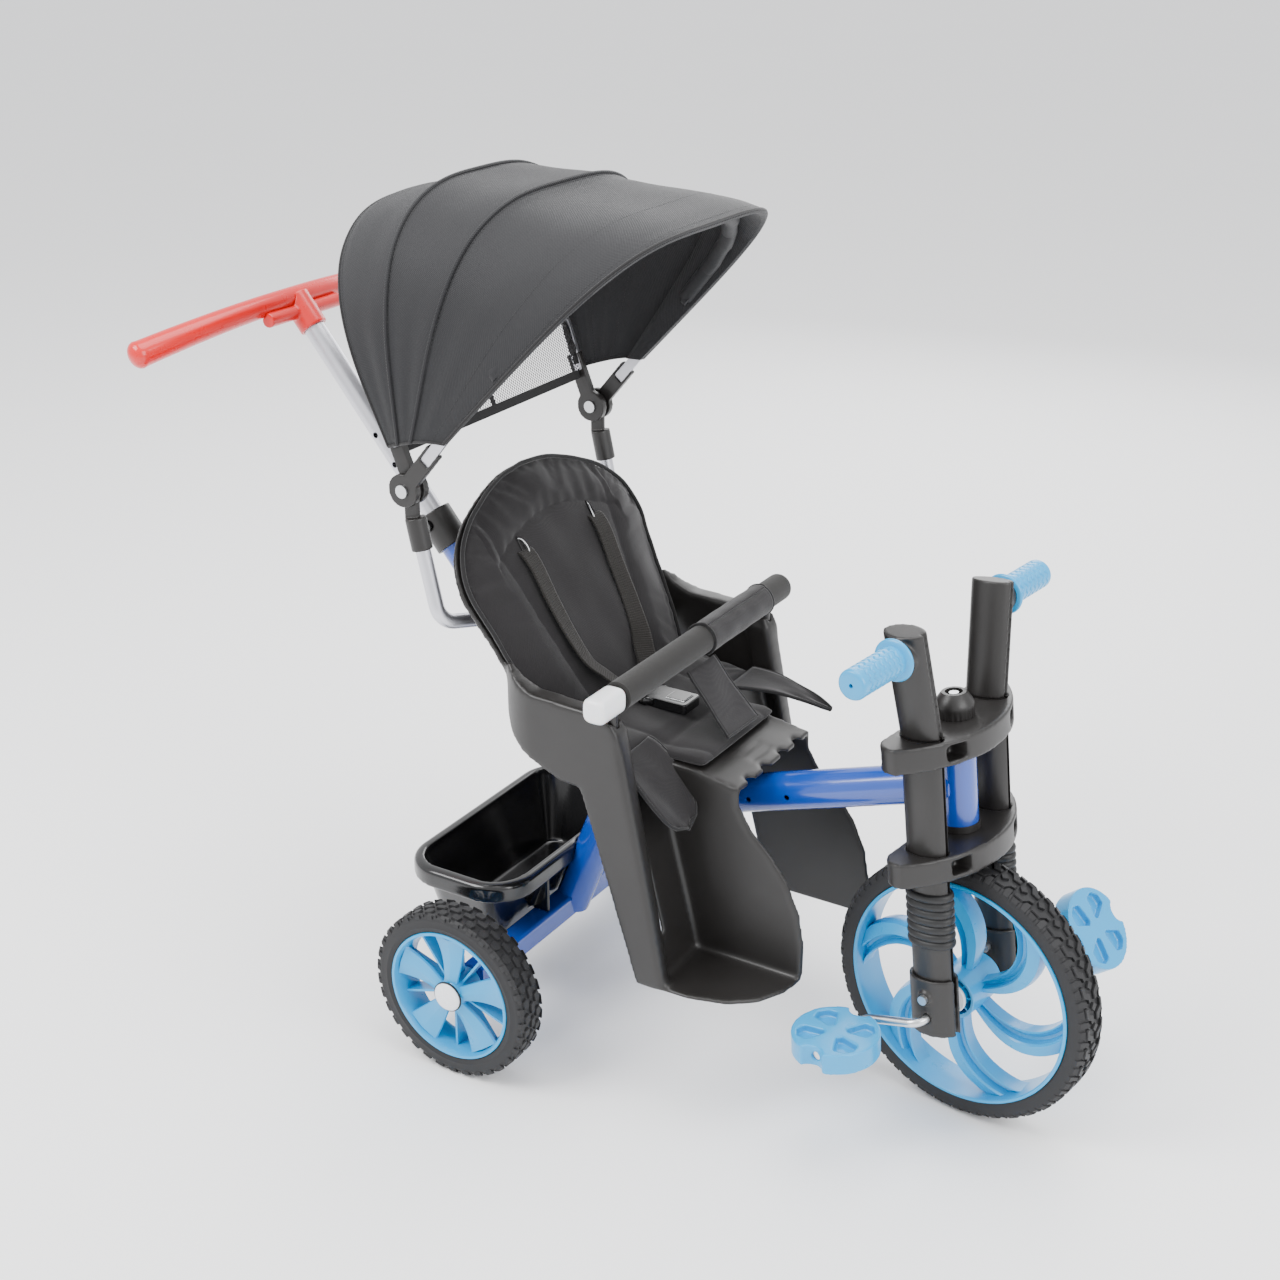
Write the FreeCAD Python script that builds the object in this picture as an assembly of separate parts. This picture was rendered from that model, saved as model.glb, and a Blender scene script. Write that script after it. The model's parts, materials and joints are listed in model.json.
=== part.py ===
"""Children's tricycle with a push handle, hood, safety bar and rear basket.

Frame: millimetres, +X forward, +Y to the rider's left, +Z up. The parts are laid out from the point on
the ground under the rear axle, and export_node() moves them so that the origin is the bottom centre
of the whole object. Every function returns the solids of one named piece.
"""
import FreeCAD, Part
import math
import os

Vector = FreeCAD.Vector
Rotation = FreeCAD.Rotation
Placement = FreeCAD.Placement

# ---------------------------------------------------------------- driving dimensions
wheelbase = 500.0
rear_radius = 100.0
rear_track = 452.0
front_radius = 150.0
caster_deg = 6.4
rest_steer_deg = -8.1
steer_limit_deg = 18.0
running_gap = 0.3
face_gap = 0.4

# wheels
tyre_width = 41.0
rear_rim_radius = 77.0
rear_hub_radius = 17.0
rear_spokes = 5
front_tyre_width = 43.0
front_rim_radius = 128.5
front_rim_width = 45.6
front_hub_radius = 26.0
front_hub_width = 58.0
front_spokes = 6
rim_wall = 5.0
axle_radius = 5.0
cap_radius = 16.5
cap_height = 5.0

# frame
main_tube_radius = 21.0
tube_wall = 2.0
head_tube_radius = 20.0
head_stem_radius = 8.0
head_joint_height = 235.0
saddle_bend = (232.0, 304.0)
strut_bend = (56.0, 238.0)
strut_foot = (1.0, 97.0)
beam_size = 28.0
beam_reach = 199.0
push_axis_point = (-166.0, 533.0)
push_slope_deg = 50.6
push_sleeve_radius = 16.0
push_tube_radius = 12.5
push_tube_inside = 150.0
push_travel = 160.0
collar_radius = 20.5

# push handle
handle_station = 317.0
handle_reach = 215.0
handle_sweep_back = 34.0
handle_drop = 25.0
handle_radius = 15.0
handle_middle_radius = 12.0
handle_cap_length = 12.0
barrel_station = 299.0
barrel_half = 60.0
barrel_radius = 8.5

# fork, in the fork's own frame: origin at the front wheel's centre, z up the steering axis
leg_spacing = 62.0
leg_half_length = 23.0
leg_half_width = 14.0
leg_foot = 11.0
groove_width = 4.0
lower_plate_base = 158.0
upper_plate_base = 282.0
plate_thickness = 27.0
plate_front = 46.0
plate_rear = 30.0
plate_tip = 105.5
post_splay_deg = 10.0
post_length = 119.0
knob_radius = 20.5
knob_height = 25.0
bellows_ribs = 7
bellows_pitch = 8.8
bellows_base = 80.0
bracket_foot = -21.0
bracket_top = 44.0
bracket_screw_height = 24.0
bracket_wall = 4.0
screw_radius = 2.6
screw_boss = 3.0
screw_head = 4.0
grip_height = 403.5
grip_radius = 15.6
grip_start = 101.0
grip_end = 176.0
grip_flange_radius = 22.0
stub_radius = 11.0

# crank and pedals
crank_radius = 69.0
crank_deg = 190.0
crank_rod_radius = 4.6
crank_bend = 13.0
pedal_radius = 46.0
pedal_thickness = 23.0
pedal_notch_radius = 14.0
pedal_rest_deg = {"left": 57.0, "right": 3.5}

# seat: the back is a plane that leans rearwards
back_point = (83.5, 385.0)
back_lean_deg = 28.4
back_outline = ((-14, 128), (60, 148), (142, 161), (178, 168), (213, 160), (244, 132), (266, 90), (281, 45))
back_top = 286.0
pad_thickness = 14.0
shell_thickness = 7.0
arm_inner = 153.0
arm_outer = 176.0
arm_top = 449.0
arm_front = 176.0
pan_front = (266.0, 354.0)
pan_thickness = 6.0
horn_half = 83.0
well_wall = 5.0
well_outer = 176.0
foot_level = 149.0
foot_front = 346.0

# safety bar
bar_x = 163.0
bar_z = 464.5
bar_reach = 202.0
bar_tube_radius = 11.0
foam_radius = 15.8
peg_radius = 6.0
peg_length = 34.0
peg_spacing = 164.0
bar_lift = 60.0

# hood
hub_point = (-74.0, 651.0)
hub_radius = 18.0
hub_inner_face = 166.0
disc_thickness = 8.0
tongue_thickness = 5.4
rear_bow_deg = -25.0
front_bow_deg = 40.0
rib_degs = (-2.0, 18.0)
fabric_thickness = 2.0
fabric_foot = 52.0
bow_width = 12.0
bow_thickness = 4.0
spring_line = 100.0
gore_halves = (178.5, 181.3, 190.5)
gore_crowns = ((290.0, 284.0), (294.5, 301.0), (305.0, 371.0))
brim_deg = 3.5

# basket
rim_back = -138.0
rim_front = 18.0
rim_half = 155.0
rim_corner = 52.0
rim_top = 186.0
rim_height = 22.0
rim_roll = 13.0
basket_floor = 92.0
floor_back = -108.0
floor_front = -25.0
floor_half = 116.0
basket_wall = 3.0

push_dir = Vector(-math.cos(math.radians(push_slope_deg)), 0, math.sin(math.radians(push_slope_deg)))
push_origin = Vector(push_axis_point[0], 0, push_axis_point[1])
front_reach = wheelbase + front_radius
rear_reach = push_origin.x + push_dir.x * handle_station - handle_sweep_back - handle_radius
middle_x = (front_reach + rear_reach) / 2.0


# ---------------------------------------------------------------- helpers
def at(x, y, z):
    """A point, written short."""
    return Vector(x, y, z)


def rod(start, end, radius):
    """A round bar between two points."""
    along = end - start
    return Part.makeCylinder(radius, along.Length, start, along)


def pipe(start, end, radius, bore):
    """A round tube between two points."""
    return rod(start, end, radius).cut(rod(start, end, bore))


def block(low, high):
    """A box between two corners."""
    return Part.makeBox(high.x - low.x, high.y - low.y, high.z - low.z, low)


def extrude(points, along):
    """A closed polygon pushed along a vector."""
    wire = Part.makePolygon(list(points) + [points[0]])
    return Part.Face(wire).extrude(along)


def side_plate(outline, y_from, y_to):
    """A plate whose (x, z) outline lies in a vertical plane, from one y to another."""
    points = [at(x, y_from, z) for x, z in outline]
    return extrude(points, at(0, y_to - y_from, 0))


def fuse_all(shapes):
    """One solid from several that meet."""
    whole = shapes[0]
    for shape in shapes[1:]:
        whole = whole.fuse(shape)
    return whole.removeSplitter()


def both_sides(shape):
    """A shape and its mirror image across the middle plane."""
    return [shape, mirrored(shape)]


def mirrored(shape):
    """The mirror image of a shape across the middle plane."""
    return shape.mirror(at(0, 0, 0), at(0, 1, 0))


def group(shapes):
    """Separate solids that share one node."""
    return Part.makeCompound(shapes)


def oval(half_length, half_width, low, high, y=0.0):
    """An upright elliptical bar, long along x."""
    edge = Part.Ellipse(at(0, y, low), half_length, half_width).toShape()
    return Part.Face(Part.Wire(edge)).extrude(at(0, 0, high - low))


def bent_wire(points, bend):
    """Straight runs joined by tangent arcs."""
    edges = []
    start = points[0]
    for before, corner, after in zip(points, points[1:], points[2:]):
        into = (corner - before).normalize()
        out = (after - corner).normalize()
        half_turn = into.getAngle(out) / 2.0
        reach = bend * math.tan(half_turn)
        first = corner - into * reach
        last = corner + out * reach
        toward = (out - into).normalize()
        middle = corner + toward * (bend / math.cos(half_turn) - bend)
        edges.append(Part.LineSegment(start, first).toShape())
        edges.append(Part.Arc(first, middle, last).toShape())
        start = last
    edges.append(Part.LineSegment(start, points[-1]).toShape())
    return Part.Wire(edges)


def bent_bar(points, bend, radius):
    """A round bar along straight runs and tangent arcs."""
    path = bent_wire(points, bend)
    ring = Part.Wire(Part.Circle(points[0], points[1] - points[0], radius).toShape())
    return path.makePipeShell([ring], True, False)


def bent_pipe(points, bend, radius, wall):
    """A round tube along straight runs and tangent arcs."""
    return bent_bar(points, bend, radius).cut(bent_bar(points, bend, radius - wall))


def turned(profile, centre):
    """A ring turned about an axle along y, from (radius, y) points; centre is on the axle."""
    points = [centre + at(0, y, radius) for radius, y in profile]
    face = Part.Face(Part.makePolygon(points + [points[0]]))
    return face.revolve(centre, at(0, 1, 0), 360)


def upright(profile, x=0.0, y=0.0):
    """A body turned about a vertical axis, from (radius, z) points."""
    points = [at(x + radius, y, z) for radius, z in profile]
    face = Part.Face(Part.makePolygon(points + [points[0]]))
    return face.revolve(at(x, y, 0), at(0, 0, 1), 360)


def rounded(x_low, x_high, half, corner, z):
    """A rectangle with rounded corners, lying at a height."""
    edges = []
    far = corner * (1 - math.sqrt(0.5))
    for sign_x, sign_y in ((1, -1), (1, 1), (-1, 1), (-1, -1)):
        x = x_high if sign_x > 0 else x_low
        y = sign_y * half
        along_x = at(x - sign_x * corner, y, z)
        along_y = at(x, y - sign_y * corner, z)
        middle = at(x - sign_x * far, y - sign_y * far, z)
        first, last = (along_x, along_y) if sign_x * sign_y < 0 else (along_y, along_x)
        if edges:
            edges.append(Part.LineSegment(edges[-1].Vertexes[-1].Point, first).toShape())
        edges.append(Part.Arc(first, middle, last).toShape())
    edges.append(Part.LineSegment(edges[-1].Vertexes[-1].Point, edges[0].Vertexes[0].Point).toShape())
    return Part.Wire(edges)


def place(shape, placement):
    """A copy of a shape moved by a placement."""
    moved = shape.copy()
    moved.Placement = placement.multiply(shape.Placement)
    return moved


head_placement = Placement(at(wheelbase, 0, front_radius), Rotation(at(0, 1, 0), -caster_deg))
steer_placement = head_placement.multiply(Placement(at(0, 0, 0), Rotation(at(0, 0, 1), rest_steer_deg)))


def on_head(shape):
    """Place a piece of the frame's head, which doesn't turn."""
    return place(shape, head_placement)


def on_fork(shape):
    """Place a piece of the fork, which rests turned a little to the right."""
    return place(shape, steer_placement)


def on_push(station):
    """The point on the push tube's axis at a distance up from the collar."""
    return push_origin + push_dir * station


def back_at(along, out, y):
    """The point on the seat back: along its slope, out from the pad's face, and across."""
    lean = math.radians(back_lean_deg)
    x = back_point[0] - along * math.sin(lean) + out * math.cos(lean)
    z = back_point[1] + along * math.cos(lean) + out * math.sin(lean)
    return at(x, y, z)


# ---------------------------------------------------------------- wheels
rear_centre = {side: at(0, sign * rear_track / 2, rear_radius) for side, sign in (("left", 1), ("right", -1))}


def rear_tyre(side):
    """A solid rubber tyre with rounded shoulders."""
    half = tyre_width / 2
    profile = [(rear_rim_radius, -half + 1), (rear_radius - 7, -half), (rear_radius - 2, -half + 3),
               (rear_radius, -half + 9), (rear_radius, half - 9), (rear_radius - 2, half - 3),
               (rear_radius - 7, half), (rear_rim_radius, half - 1)]
    return turned(profile, rear_centre[side])


def rear_rim(side):
    """Barrel, hub and five broad spokes, moulded as one."""
    centre = rear_centre[side]
    outward = 1 if side == "left" else -1
    half = tyre_width / 2
    barrel = turned([(rear_rim_radius - rim_wall, -half), (rear_rim_radius, -half),
                     (rear_rim_radius, half), (rear_rim_radius - rim_wall, half)], centre)
    hub = rod(centre - at(0, half, 0), centre + at(0, half, 0), rear_hub_radius)
    pieces = [barrel, hub]
    for number in range(rear_spokes):
        spoke = rear_spoke(centre, outward)
        spoke.rotate(centre, at(0, 1, 0), 360.0 * number / rear_spokes)
        pieces.append(spoke)
    rim = fuse_all(pieces)
    bore = rod(centre - at(0, half, 0), centre + at(0, half, 0), axle_radius + running_gap)
    return rim.cut(bore)


def rear_spoke(centre, outward):
    """A broad spoke that widens towards the barrel."""
    root = rear_hub_radius - 3
    tip = rear_rim_radius - rim_wall + 1
    depth = tyre_width * 0.6
    y_low = centre.y - depth / 2 + outward * 3
    points = [at(-9, y_low, centre.z + root), at(9, y_low, centre.z + root),
              at(19, y_low, centre.z + tip - 2), at(-19, y_low, centre.z + tip - 2)]
    barrel_inner = rod(at(0, y_low, centre.z), at(0, y_low + depth, centre.z), tip)
    return extrude(points, at(0, depth, 0)).common(barrel_inner)


def rear_cap(side):
    """The push-on hub cap that hides the axle end."""
    outward = 1 if side == "left" else -1
    face = rear_centre[side] + at(0, outward * tyre_width / 2, 0)
    cap = rod(face, face + at(0, outward * cap_height, 0), cap_radius)
    recess = rod(face, face + at(0, outward * (cap_height - 1.5), 0), cap_radius - 4)
    return cap.cut(recess)


def front_tyre():
    """The front tyre, flatter in the crown than it is at the shoulders."""
    half = front_tyre_width / 2
    profile = [(front_rim_radius, -half + 1), (front_radius - 8, -half), (front_radius - 2, -half + 3),
               (front_radius, -half + 9), (front_radius, half - 9), (front_radius - 2, half - 3),
               (front_radius - 8, half), (front_rim_radius, half - 1)]
    return on_fork(turned(profile, at(0, 0, 0)))


def front_rim():
    """Barrel, ribbed hub and six swept spokes, moulded as one."""
    half = front_rim_width / 2
    barrel = turned([(front_rim_radius - rim_wall, -half), (front_rim_radius, -half),
                     (front_rim_radius, half), (front_rim_radius - rim_wall, half)], at(0, 0, 0))
    hub = rod(at(0, -front_hub_width / 2, 0), at(0, front_hub_width / 2, 0), front_hub_radius)
    pieces = [barrel, hub]
    for number in range(front_spokes):
        spoke = front_spoke()
        spoke.rotate(at(0, 0, 0), at(0, 1, 0), 360.0 * number / front_spokes)
        pieces.append(spoke)
    rim = fuse_all(pieces)
    bush_bore = rod(at(0, -front_hub_width / 2, 0), at(0, front_hub_width / 2, 0), bush_radius)
    return on_fork(rim.cut(bush_bore))


def front_spoke():
    """One leaf-shaped spoke: narrow at the hub, broad at the barrel, swept to one side."""
    reach = front_rim_radius - rim_wall + 1
    depth = front_rim_width * 0.62
    y_low = -depth / 2
    root = front_hub_radius - 3
    points = [at(-7, y_low, root), at(7, y_low, root), at(24, y_low, reach * 0.55),
              at(34, y_low, reach - 4), at(-6, y_low, reach - 1), at(-16, y_low, reach * 0.6)]
    inside = rod(at(0, y_low, 0), at(0, y_low + depth, 0), reach)
    return extrude(points, at(0, depth, 0)).common(inside)


bush_radius = 12.0
bush_reach = 43.0


def clutch_bushes():
    """Two flanged bushes that carry the wheel on the crank rod and space it from the brackets."""
    flange = front_hub_width / 2
    flange_radius = bush_radius + 5
    bush = turned([(crank_rod_radius, 0.5), (bush_radius, 0.5), (bush_radius, flange), (flange_radius, flange),
                   (flange_radius, flange + 4), (bush_radius - 2, flange + 4), (bush_radius - 2, bush_reach),
                   (crank_rod_radius, bush_reach)], at(0, 0, 0))
    return on_fork(group(both_sides(bush)))


# ---------------------------------------------------------------- crank and pedals
crank_out = Vector(math.cos(math.radians(crank_deg)), 0, math.sin(math.radians(crank_deg))) * crank_radius
crank_neck = leg_spacing + leg_half_width + bracket_wall + screw_boss + screw_head + crank_rod_radius + 1.5
pedal_start = crank_neck + 2.0
pedal_middle = pedal_start + pedal_radius + 5.0


def crank_end(side, y):
    """A point on a pedal's spindle, in the fork's frame."""
    sign = 1 if side == "left" else -1
    return at(-sign * crank_out.x, sign * y, -sign * crank_out.z)


def crank_rod():
    """One steel rod bent into the axle, both cranks and both spindles."""
    tip = pedal_middle + pedal_radius - pedal_notch_radius + 2
    points = [crank_end("right", tip), crank_end("right", pedal_start), at(0, -crank_neck, 0),
              at(0, crank_neck, 0), crank_end("left", pedal_start), crank_end("left", tip)]
    return on_fork(bent_bar(points, crank_bend, crank_rod_radius))


def pedal(side):
    """A round pedal with notched ends and four pockets above and below."""
    bore = rod(at(0, -pedal_radius - 5, 0), at(0, pedal_radius + 5, 0), crank_rod_radius + running_gap)
    half = pedal_thickness / 2
    disc = rod(at(0, 0, -half), at(0, 0, half), pedal_radius)
    for sign in (-1, 1):
        notch_y = sign * (pedal_radius + 4)
        disc = disc.cut(rod(at(0, notch_y, -half), at(0, notch_y, half), pedal_notch_radius))
        for angle in (38, 142, 218, 322):
            disc = disc.cut(pedal_pocket(angle, sign * half))
    disc = disc.cut(bore)
    disc.rotate(at(0, 0, 0), at(0, 1, 0), pedal_rest_deg[side])
    disc.translate(crank_end(side, pedal_middle))
    return on_fork(disc)


def pedal_pocket(angle, face):
    """One rounded triangular pocket, sunk from a face of the pedal."""
    depth = pedal_thickness * 0.36
    low = face - depth if face > 0 else face
    points = []
    for turn, radius in ((-13, 12), (13, 12), (22, 34), (8, 40), (-8, 40), (-22, 34)):
        bearing = math.radians(angle + turn)
        points.append(at(radius * math.cos(bearing), radius * math.sin(bearing), low))
    return extrude(points, at(0, 0, depth))


# ---------------------------------------------------------------- fork
def plate_face(base):
    """The crescent outline of a fork plate: straight at the rear, bowed at the front."""
    tip = at(-4, plate_tip, base)
    other = at(-4, -plate_tip, base)
    rear = at(-plate_rear, plate_tip - 20, base)
    rear_other = at(-plate_rear, -plate_tip + 20, base)
    edges = [Part.Arc(other, at(plate_front, 0, base), tip).toShape(),
             Part.Arc(tip, at(-plate_rear + 7, plate_tip - 5, base), rear).toShape(),
             Part.LineSegment(rear, rear_other).toShape(),
             Part.Arc(rear_other, at(-plate_rear + 7, -plate_tip + 5, base), other).toShape()]
    return Part.Face(Part.Wire(edges))


def fork_plate(base):
    """A plate with an open rear channel and two windows in its front wall."""
    plate = plate_face(base).extrude(at(0, 0, plate_thickness))
    skin = 6.0
    channel = block(at(-plate_rear - 5, -plate_tip - 5, base + skin),
                    at(-plate_rear + 6, plate_tip + 5, base + plate_thickness - skin))
    plate = plate.cut(channel)
    for sign in (-1, 1):
        window = block(at(18, sign * 52 - 11, base + 5.5), at(plate_front + 5, sign * 52 + 11, base + 21.5))
        plate = plate.cut(window)
        plate = plate.cut(oval(leg_half_length, leg_half_width, base - 1, base + plate_thickness + 1,
                               sign * leg_spacing))
    return plate.cut(rod(at(0, 0, base - 1), at(0, 0, base + plate_thickness + 1), head_stem_radius))


def lower_plate():
    """The plate under the head tube."""
    return on_fork(fork_plate(lower_plate_base))


def upper_plate():
    """The plate over the head tube."""
    return on_fork(fork_plate(upper_plate_base))


def leg_blank(low, high, y):
    """An oval bar with a groove down its front edge."""
    bar = oval(leg_half_length, leg_half_width, low, high, y)
    groove = block(at(leg_half_length - 4, y - groove_width / 2, low - 1),
                   at(leg_half_length + 1, y + groove_width / 2, high + 1))
    return bar.cut(groove)


def fork_leg(side):
    """The straight leg from the bracket up through both plates."""
    y = leg_spacing if side == "left" else -leg_spacing
    leg = leg_blank(leg_foot, upper_plate_base + plate_thickness, y)
    hole = rod(at(0, y - 30, bracket_screw_height), at(0, y + 30, bracket_screw_height), screw_radius)
    return on_fork(leg.cut(hole))


def grip_post(side):
    """The splayed post above the upper plate, with the stub that carries the grip."""
    sign = 1 if side == "left" else -1
    base = upper_plate_base + plate_thickness
    post = leg_blank(-15, post_length, 0)
    post.rotate(at(0, 0, 0), at(1, 0, 0), -sign * post_splay_deg)
    post.translate(at(0, sign * leg_spacing, base))
    post = post.cut(block(at(-60, -160, base - 60), at(60, 160, base)))
    stub = rod(at(0, sign * (leg_spacing + 12), grip_height), at(0, sign * (grip_end - 4), grip_height), stub_radius)
    boss = rod(at(0, sign * (leg_spacing + 12), grip_height), at(0, sign * grip_start, grip_height), 17)
    return on_fork(fuse_all([post, stub, boss]))


def grip(sign):
    """A rubber grip with a flange at its inner end and a vent in its outer end."""
    inner = at(0, sign * grip_start, grip_height)
    outer = at(0, sign * grip_end, grip_height)
    flange = rod(inner, inner + at(0, sign * 6, 0), grip_flange_radius)
    body = fuse_all([flange, rod(inner, outer, grip_radius)])
    body = body.cut(rod(inner, outer - at(0, sign * 4, 0), stub_radius))
    vent = rod(outer - at(0, sign * 6, 0), outer + at(0, sign * 1, 0), 2.0)
    return body.cut(vent)


def grips():
    """Both rubber grips."""
    return on_fork(group([grip(-1), grip(1)]))


def steering_knob():
    """The domed cover over the stem nut, open at the top."""
    base = upper_plate_base + plate_thickness
    radius = knob_radius
    profile = [(head_stem_radius + 0.5, base), (radius, base), (radius, base + knob_height * 0.5),
               (radius - 3, base + knob_height * 0.78), (radius - 8, base + knob_height),
               (head_stem_radius + 0.5, base + knob_height)]
    return on_fork(upright(profile))


def steering_stem():
    """The steel stem through both plates, with a nut and washer at each end."""
    top = upper_plate_base + plate_thickness
    shank = rod(at(0, 0, lower_plate_base - 0.5), at(0, 0, top + 14), head_stem_radius)
    thread = rod(at(0, 0, top + 14), at(0, 0, top + knob_height - 1), 5)
    return on_fork(fuse_all([shank, thread]))


def fork_bellows(side):
    """Ribbed dust sleeve on each leg, under the lower plate."""
    y = leg_spacing if side == "left" else -leg_spacing
    solids = []
    for number in range(bellows_ribs):
        low = bellows_base + number * bellows_pitch
        solids.append(oval(leg_half_length + 4, leg_half_width + 4, low, low + 5.4, y))
        solids.append(oval(leg_half_length + 1.8, leg_half_width + 1.8, low + 5.4, low + bellows_pitch, y))
    sleeve = fuse_all(solids)
    return sleeve.cut(oval(leg_half_length, leg_half_width, bellows_base - 1, lower_plate_base, y))


def axle_bracket(side):
    """The clamp at the foot of a leg that carries the crank rod."""
    sign = 1 if side == "left" else -1
    y = sign * leg_spacing
    cup = oval(leg_half_length + bracket_wall, leg_half_width + bracket_wall, bracket_foot, bracket_top, y)
    cup = cup.cut(oval(leg_half_length, leg_half_width, leg_foot, bracket_top + 1, y))
    slot = block(at(leg_half_length - 2, y - 3, bracket_foot - 1),
                 at(leg_half_length + bracket_wall + 2, y + 3, bracket_top + 1))
    cup = cup.cut(slot)
    boss = rod(at(0, y + sign * (leg_half_width + 1), bracket_screw_height),
               at(0, y + sign * (leg_half_width + bracket_wall + screw_boss), bracket_screw_height), 8)
    boss = boss.cut(oval(leg_half_length, leg_half_width, leg_foot, bracket_top, y))
    cup = fuse_all([cup, boss])
    cup = cup.cut(rod(at(0, y - 40, bracket_screw_height), at(0, y + 40, bracket_screw_height), screw_radius))
    return cup.cut(rod(at(0, y - 40, 0), at(0, y + 40, 0), crank_rod_radius + running_gap))


def bracket_screws():
    """A through screw with its nut at each bracket."""
    solids = []
    for sign in (-1, 1):
        outside = sign * (leg_spacing + leg_half_width + bracket_wall + screw_boss)
        inside = sign * (leg_spacing - leg_half_width - bracket_wall)
        shank = rod(at(0, inside - sign * 7, bracket_screw_height), at(0, outside, bracket_screw_height), screw_radius)
        head = rod(at(0, outside, bracket_screw_height), at(0, outside + sign * screw_head, bracket_screw_height), 5)
        nut = rod(at(0, inside, bracket_screw_height), at(0, inside - sign * 6, bracket_screw_height), 4.8)
        solids.append(fuse_all([shank, head, nut]))
    return on_fork(group(solids))


# ---------------------------------------------------------------- frame
head_low = lower_plate_base + plate_thickness + 8.0
head_high = upper_plate_base - 6.0
main_tube_points = [at(wheelbase - head_joint_height * math.sin(math.radians(caster_deg)), 0,
                       front_radius + head_joint_height * math.cos(math.radians(caster_deg))),
                    at(saddle_bend[0], 0, saddle_bend[1]), at(strut_bend[0], 0, strut_bend[1]),
                    at(strut_foot[0], 0, strut_foot[1])]
main_tube_bend = 60.0


def head_tube():
    """The tube that the stem turns in."""
    return on_head(pipe(at(0, 0, head_low), at(0, 0, head_high), head_tube_radius, head_tube_radius - 3))


def head_bushes():
    """Plastic bushes pressed into both ends of the head tube."""
    bore = head_stem_radius + running_gap
    shoulder = head_tube_radius + 1.5
    low = upright([(bore, head_low - 8 + face_gap), (shoulder, head_low - 8 + face_gap), (shoulder, head_low),
                   (head_tube_radius - 3, head_low), (head_tube_radius - 3, head_low + 12), (bore, head_low + 12)])
    high = upright([(bore, head_high - 12), (head_tube_radius - 3, head_high - 12),
                    (head_tube_radius - 3, head_high), (shoulder, head_high),
                    (shoulder, head_high + 6 - face_gap), (bore, head_high + 6 - face_gap)])
    return on_head(group([low, high]))


def beam_blank(grow=0.0):
    """The outside of the rear beam."""
    half = beam_size / 2 + grow
    return block(at(-half, -beam_reach, rear_radius - half), at(half, beam_reach, rear_radius + half))


def main_frame():
    """The bent main tube from the head, under the seat and down to the rear beam."""
    tube = bent_pipe(main_tube_points, main_tube_bend, main_tube_radius, tube_wall)
    head = on_head(rod(at(0, 0, head_low - 20), at(0, 0, head_high + 20), head_tube_radius))
    tube = tube.cut(head).cut(beam_blank())
    for x in tube_hole_x:
        tube = tube.cut(rod(at(x, -30, tube_height(x)), at(x, 30, tube_height(x)), 3.2))
    for x in seat_bolt_x:
        tube = tube.cut(rod(at(x, -30, tube_height(x)), at(x, 30, tube_height(x)), seat_bolt_radius))
    return largest(tube)


tube_hole_x = (245.0, 291.0)


def tube_height(x):
    """The height of the main tube's centre line where it runs straight to the head."""
    head, saddle = main_tube_points[0], main_tube_points[1]
    return saddle.z + (x - saddle.x) * (head.z - saddle.z) / (head.x - saddle.x)


def largest(shape):
    """The largest solid of a cut result."""
    return max(shape.Solids, key=lambda solid: solid.Volume)


def rear_beam():
    """The square cross beam that holds the rear axle."""
    beam = beam_blank()
    long_edges = [edge for edge in beam.Edges if edge.Length > beam_reach]
    beam = beam.makeFillet(5, long_edges)
    for screw in basket_screws():
        beam = beam.cut(screw)
    return beam.cut(rod(at(0, -beam_reach - 1, rear_radius), at(0, beam_reach + 1, rear_radius), axle_radius))


def rear_axle():
    """The steel rod through the beam and both rear wheels."""
    reach = rear_track / 2 + tyre_width / 2 + 1
    return rod(at(0, -reach, rear_radius), at(0, reach, rear_radius), axle_radius)


def push_sleeve():
    """The fixed lower tube of the push handle, welded to the main tube."""
    low = push_sleeve_base()
    tube = pipe(low, on_push(0), push_sleeve_radius, push_tube_radius + running_gap)
    return largest(tube.cut(bent_bar(main_tube_points, main_tube_bend, main_tube_radius)))


def push_sleeve_base():
    """The point where the push tube's axis meets the height of the main tube's bend."""
    drop = (push_origin.z - strut_bend[1]) / push_dir.z
    return on_push(-drop)


# ---------------------------------------------------------------- push handle
def tube_collar():
    """The collar at the top of the fixed tube, with a pocket for its button."""
    body = rod(on_push(-20), on_push(24), collar_radius)
    body = body.cut(rod(on_push(-21), on_push(0), push_sleeve_radius))
    body = body.cut(rod(on_push(-1), on_push(25), push_tube_radius + running_gap))
    seat = on_push(12)
    return body.cut(rod(seat, seat + at(0, -40, 0), button_radius + running_gap))


button_radius = 5.5
button_travel = 2.5


def collar_button():
    """The press button that frees the push tube."""
    seat = on_push(12)
    inner = push_tube_radius + running_gap + button_travel + 0.6
    return rod(seat + at(0, -inner, 0), seat + at(0, -collar_radius - button_travel - 1.0, 0), button_radius)


def push_tube():
    """The sliding upper tube, with its row of adjustment holes."""
    tube = pipe(on_push(-push_tube_inside), on_push(handle_station - handle_radius), push_tube_radius,
                push_tube_radius - 1.5)
    for number in range(4):
        spot = on_push(12 + 40 * number)
        tube = tube.cut(rod(spot, spot + at(0, -20, 0), 3.5))
    return tube


def handle_curve():
    """The arc of the handle's centre line."""
    middle = on_push(handle_station)
    ends = [middle + at(-handle_sweep_back, sign * handle_reach, -handle_drop) for sign in (-1, 1)]
    return Part.Arc(ends[0], middle, ends[1])


def push_handle():
    """The curved handle bar, thicker at its grips than in the middle."""
    curve = handle_curve()
    rings = []
    steps = 8
    for number in range(steps + 1):
        share = number / steps
        parameter = curve.FirstParameter + share * (curve.LastParameter - curve.FirstParameter)
        swell = abs(2 * share - 1) ** 1.5
        radius = handle_middle_radius + swell * (handle_radius - handle_middle_radius)
        rings.append(Part.Wire(Part.Circle(curve.value(parameter), curve.tangent(parameter)[0], radius).toShape()))
    return Part.makeLoft(rings, True, False)


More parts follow.
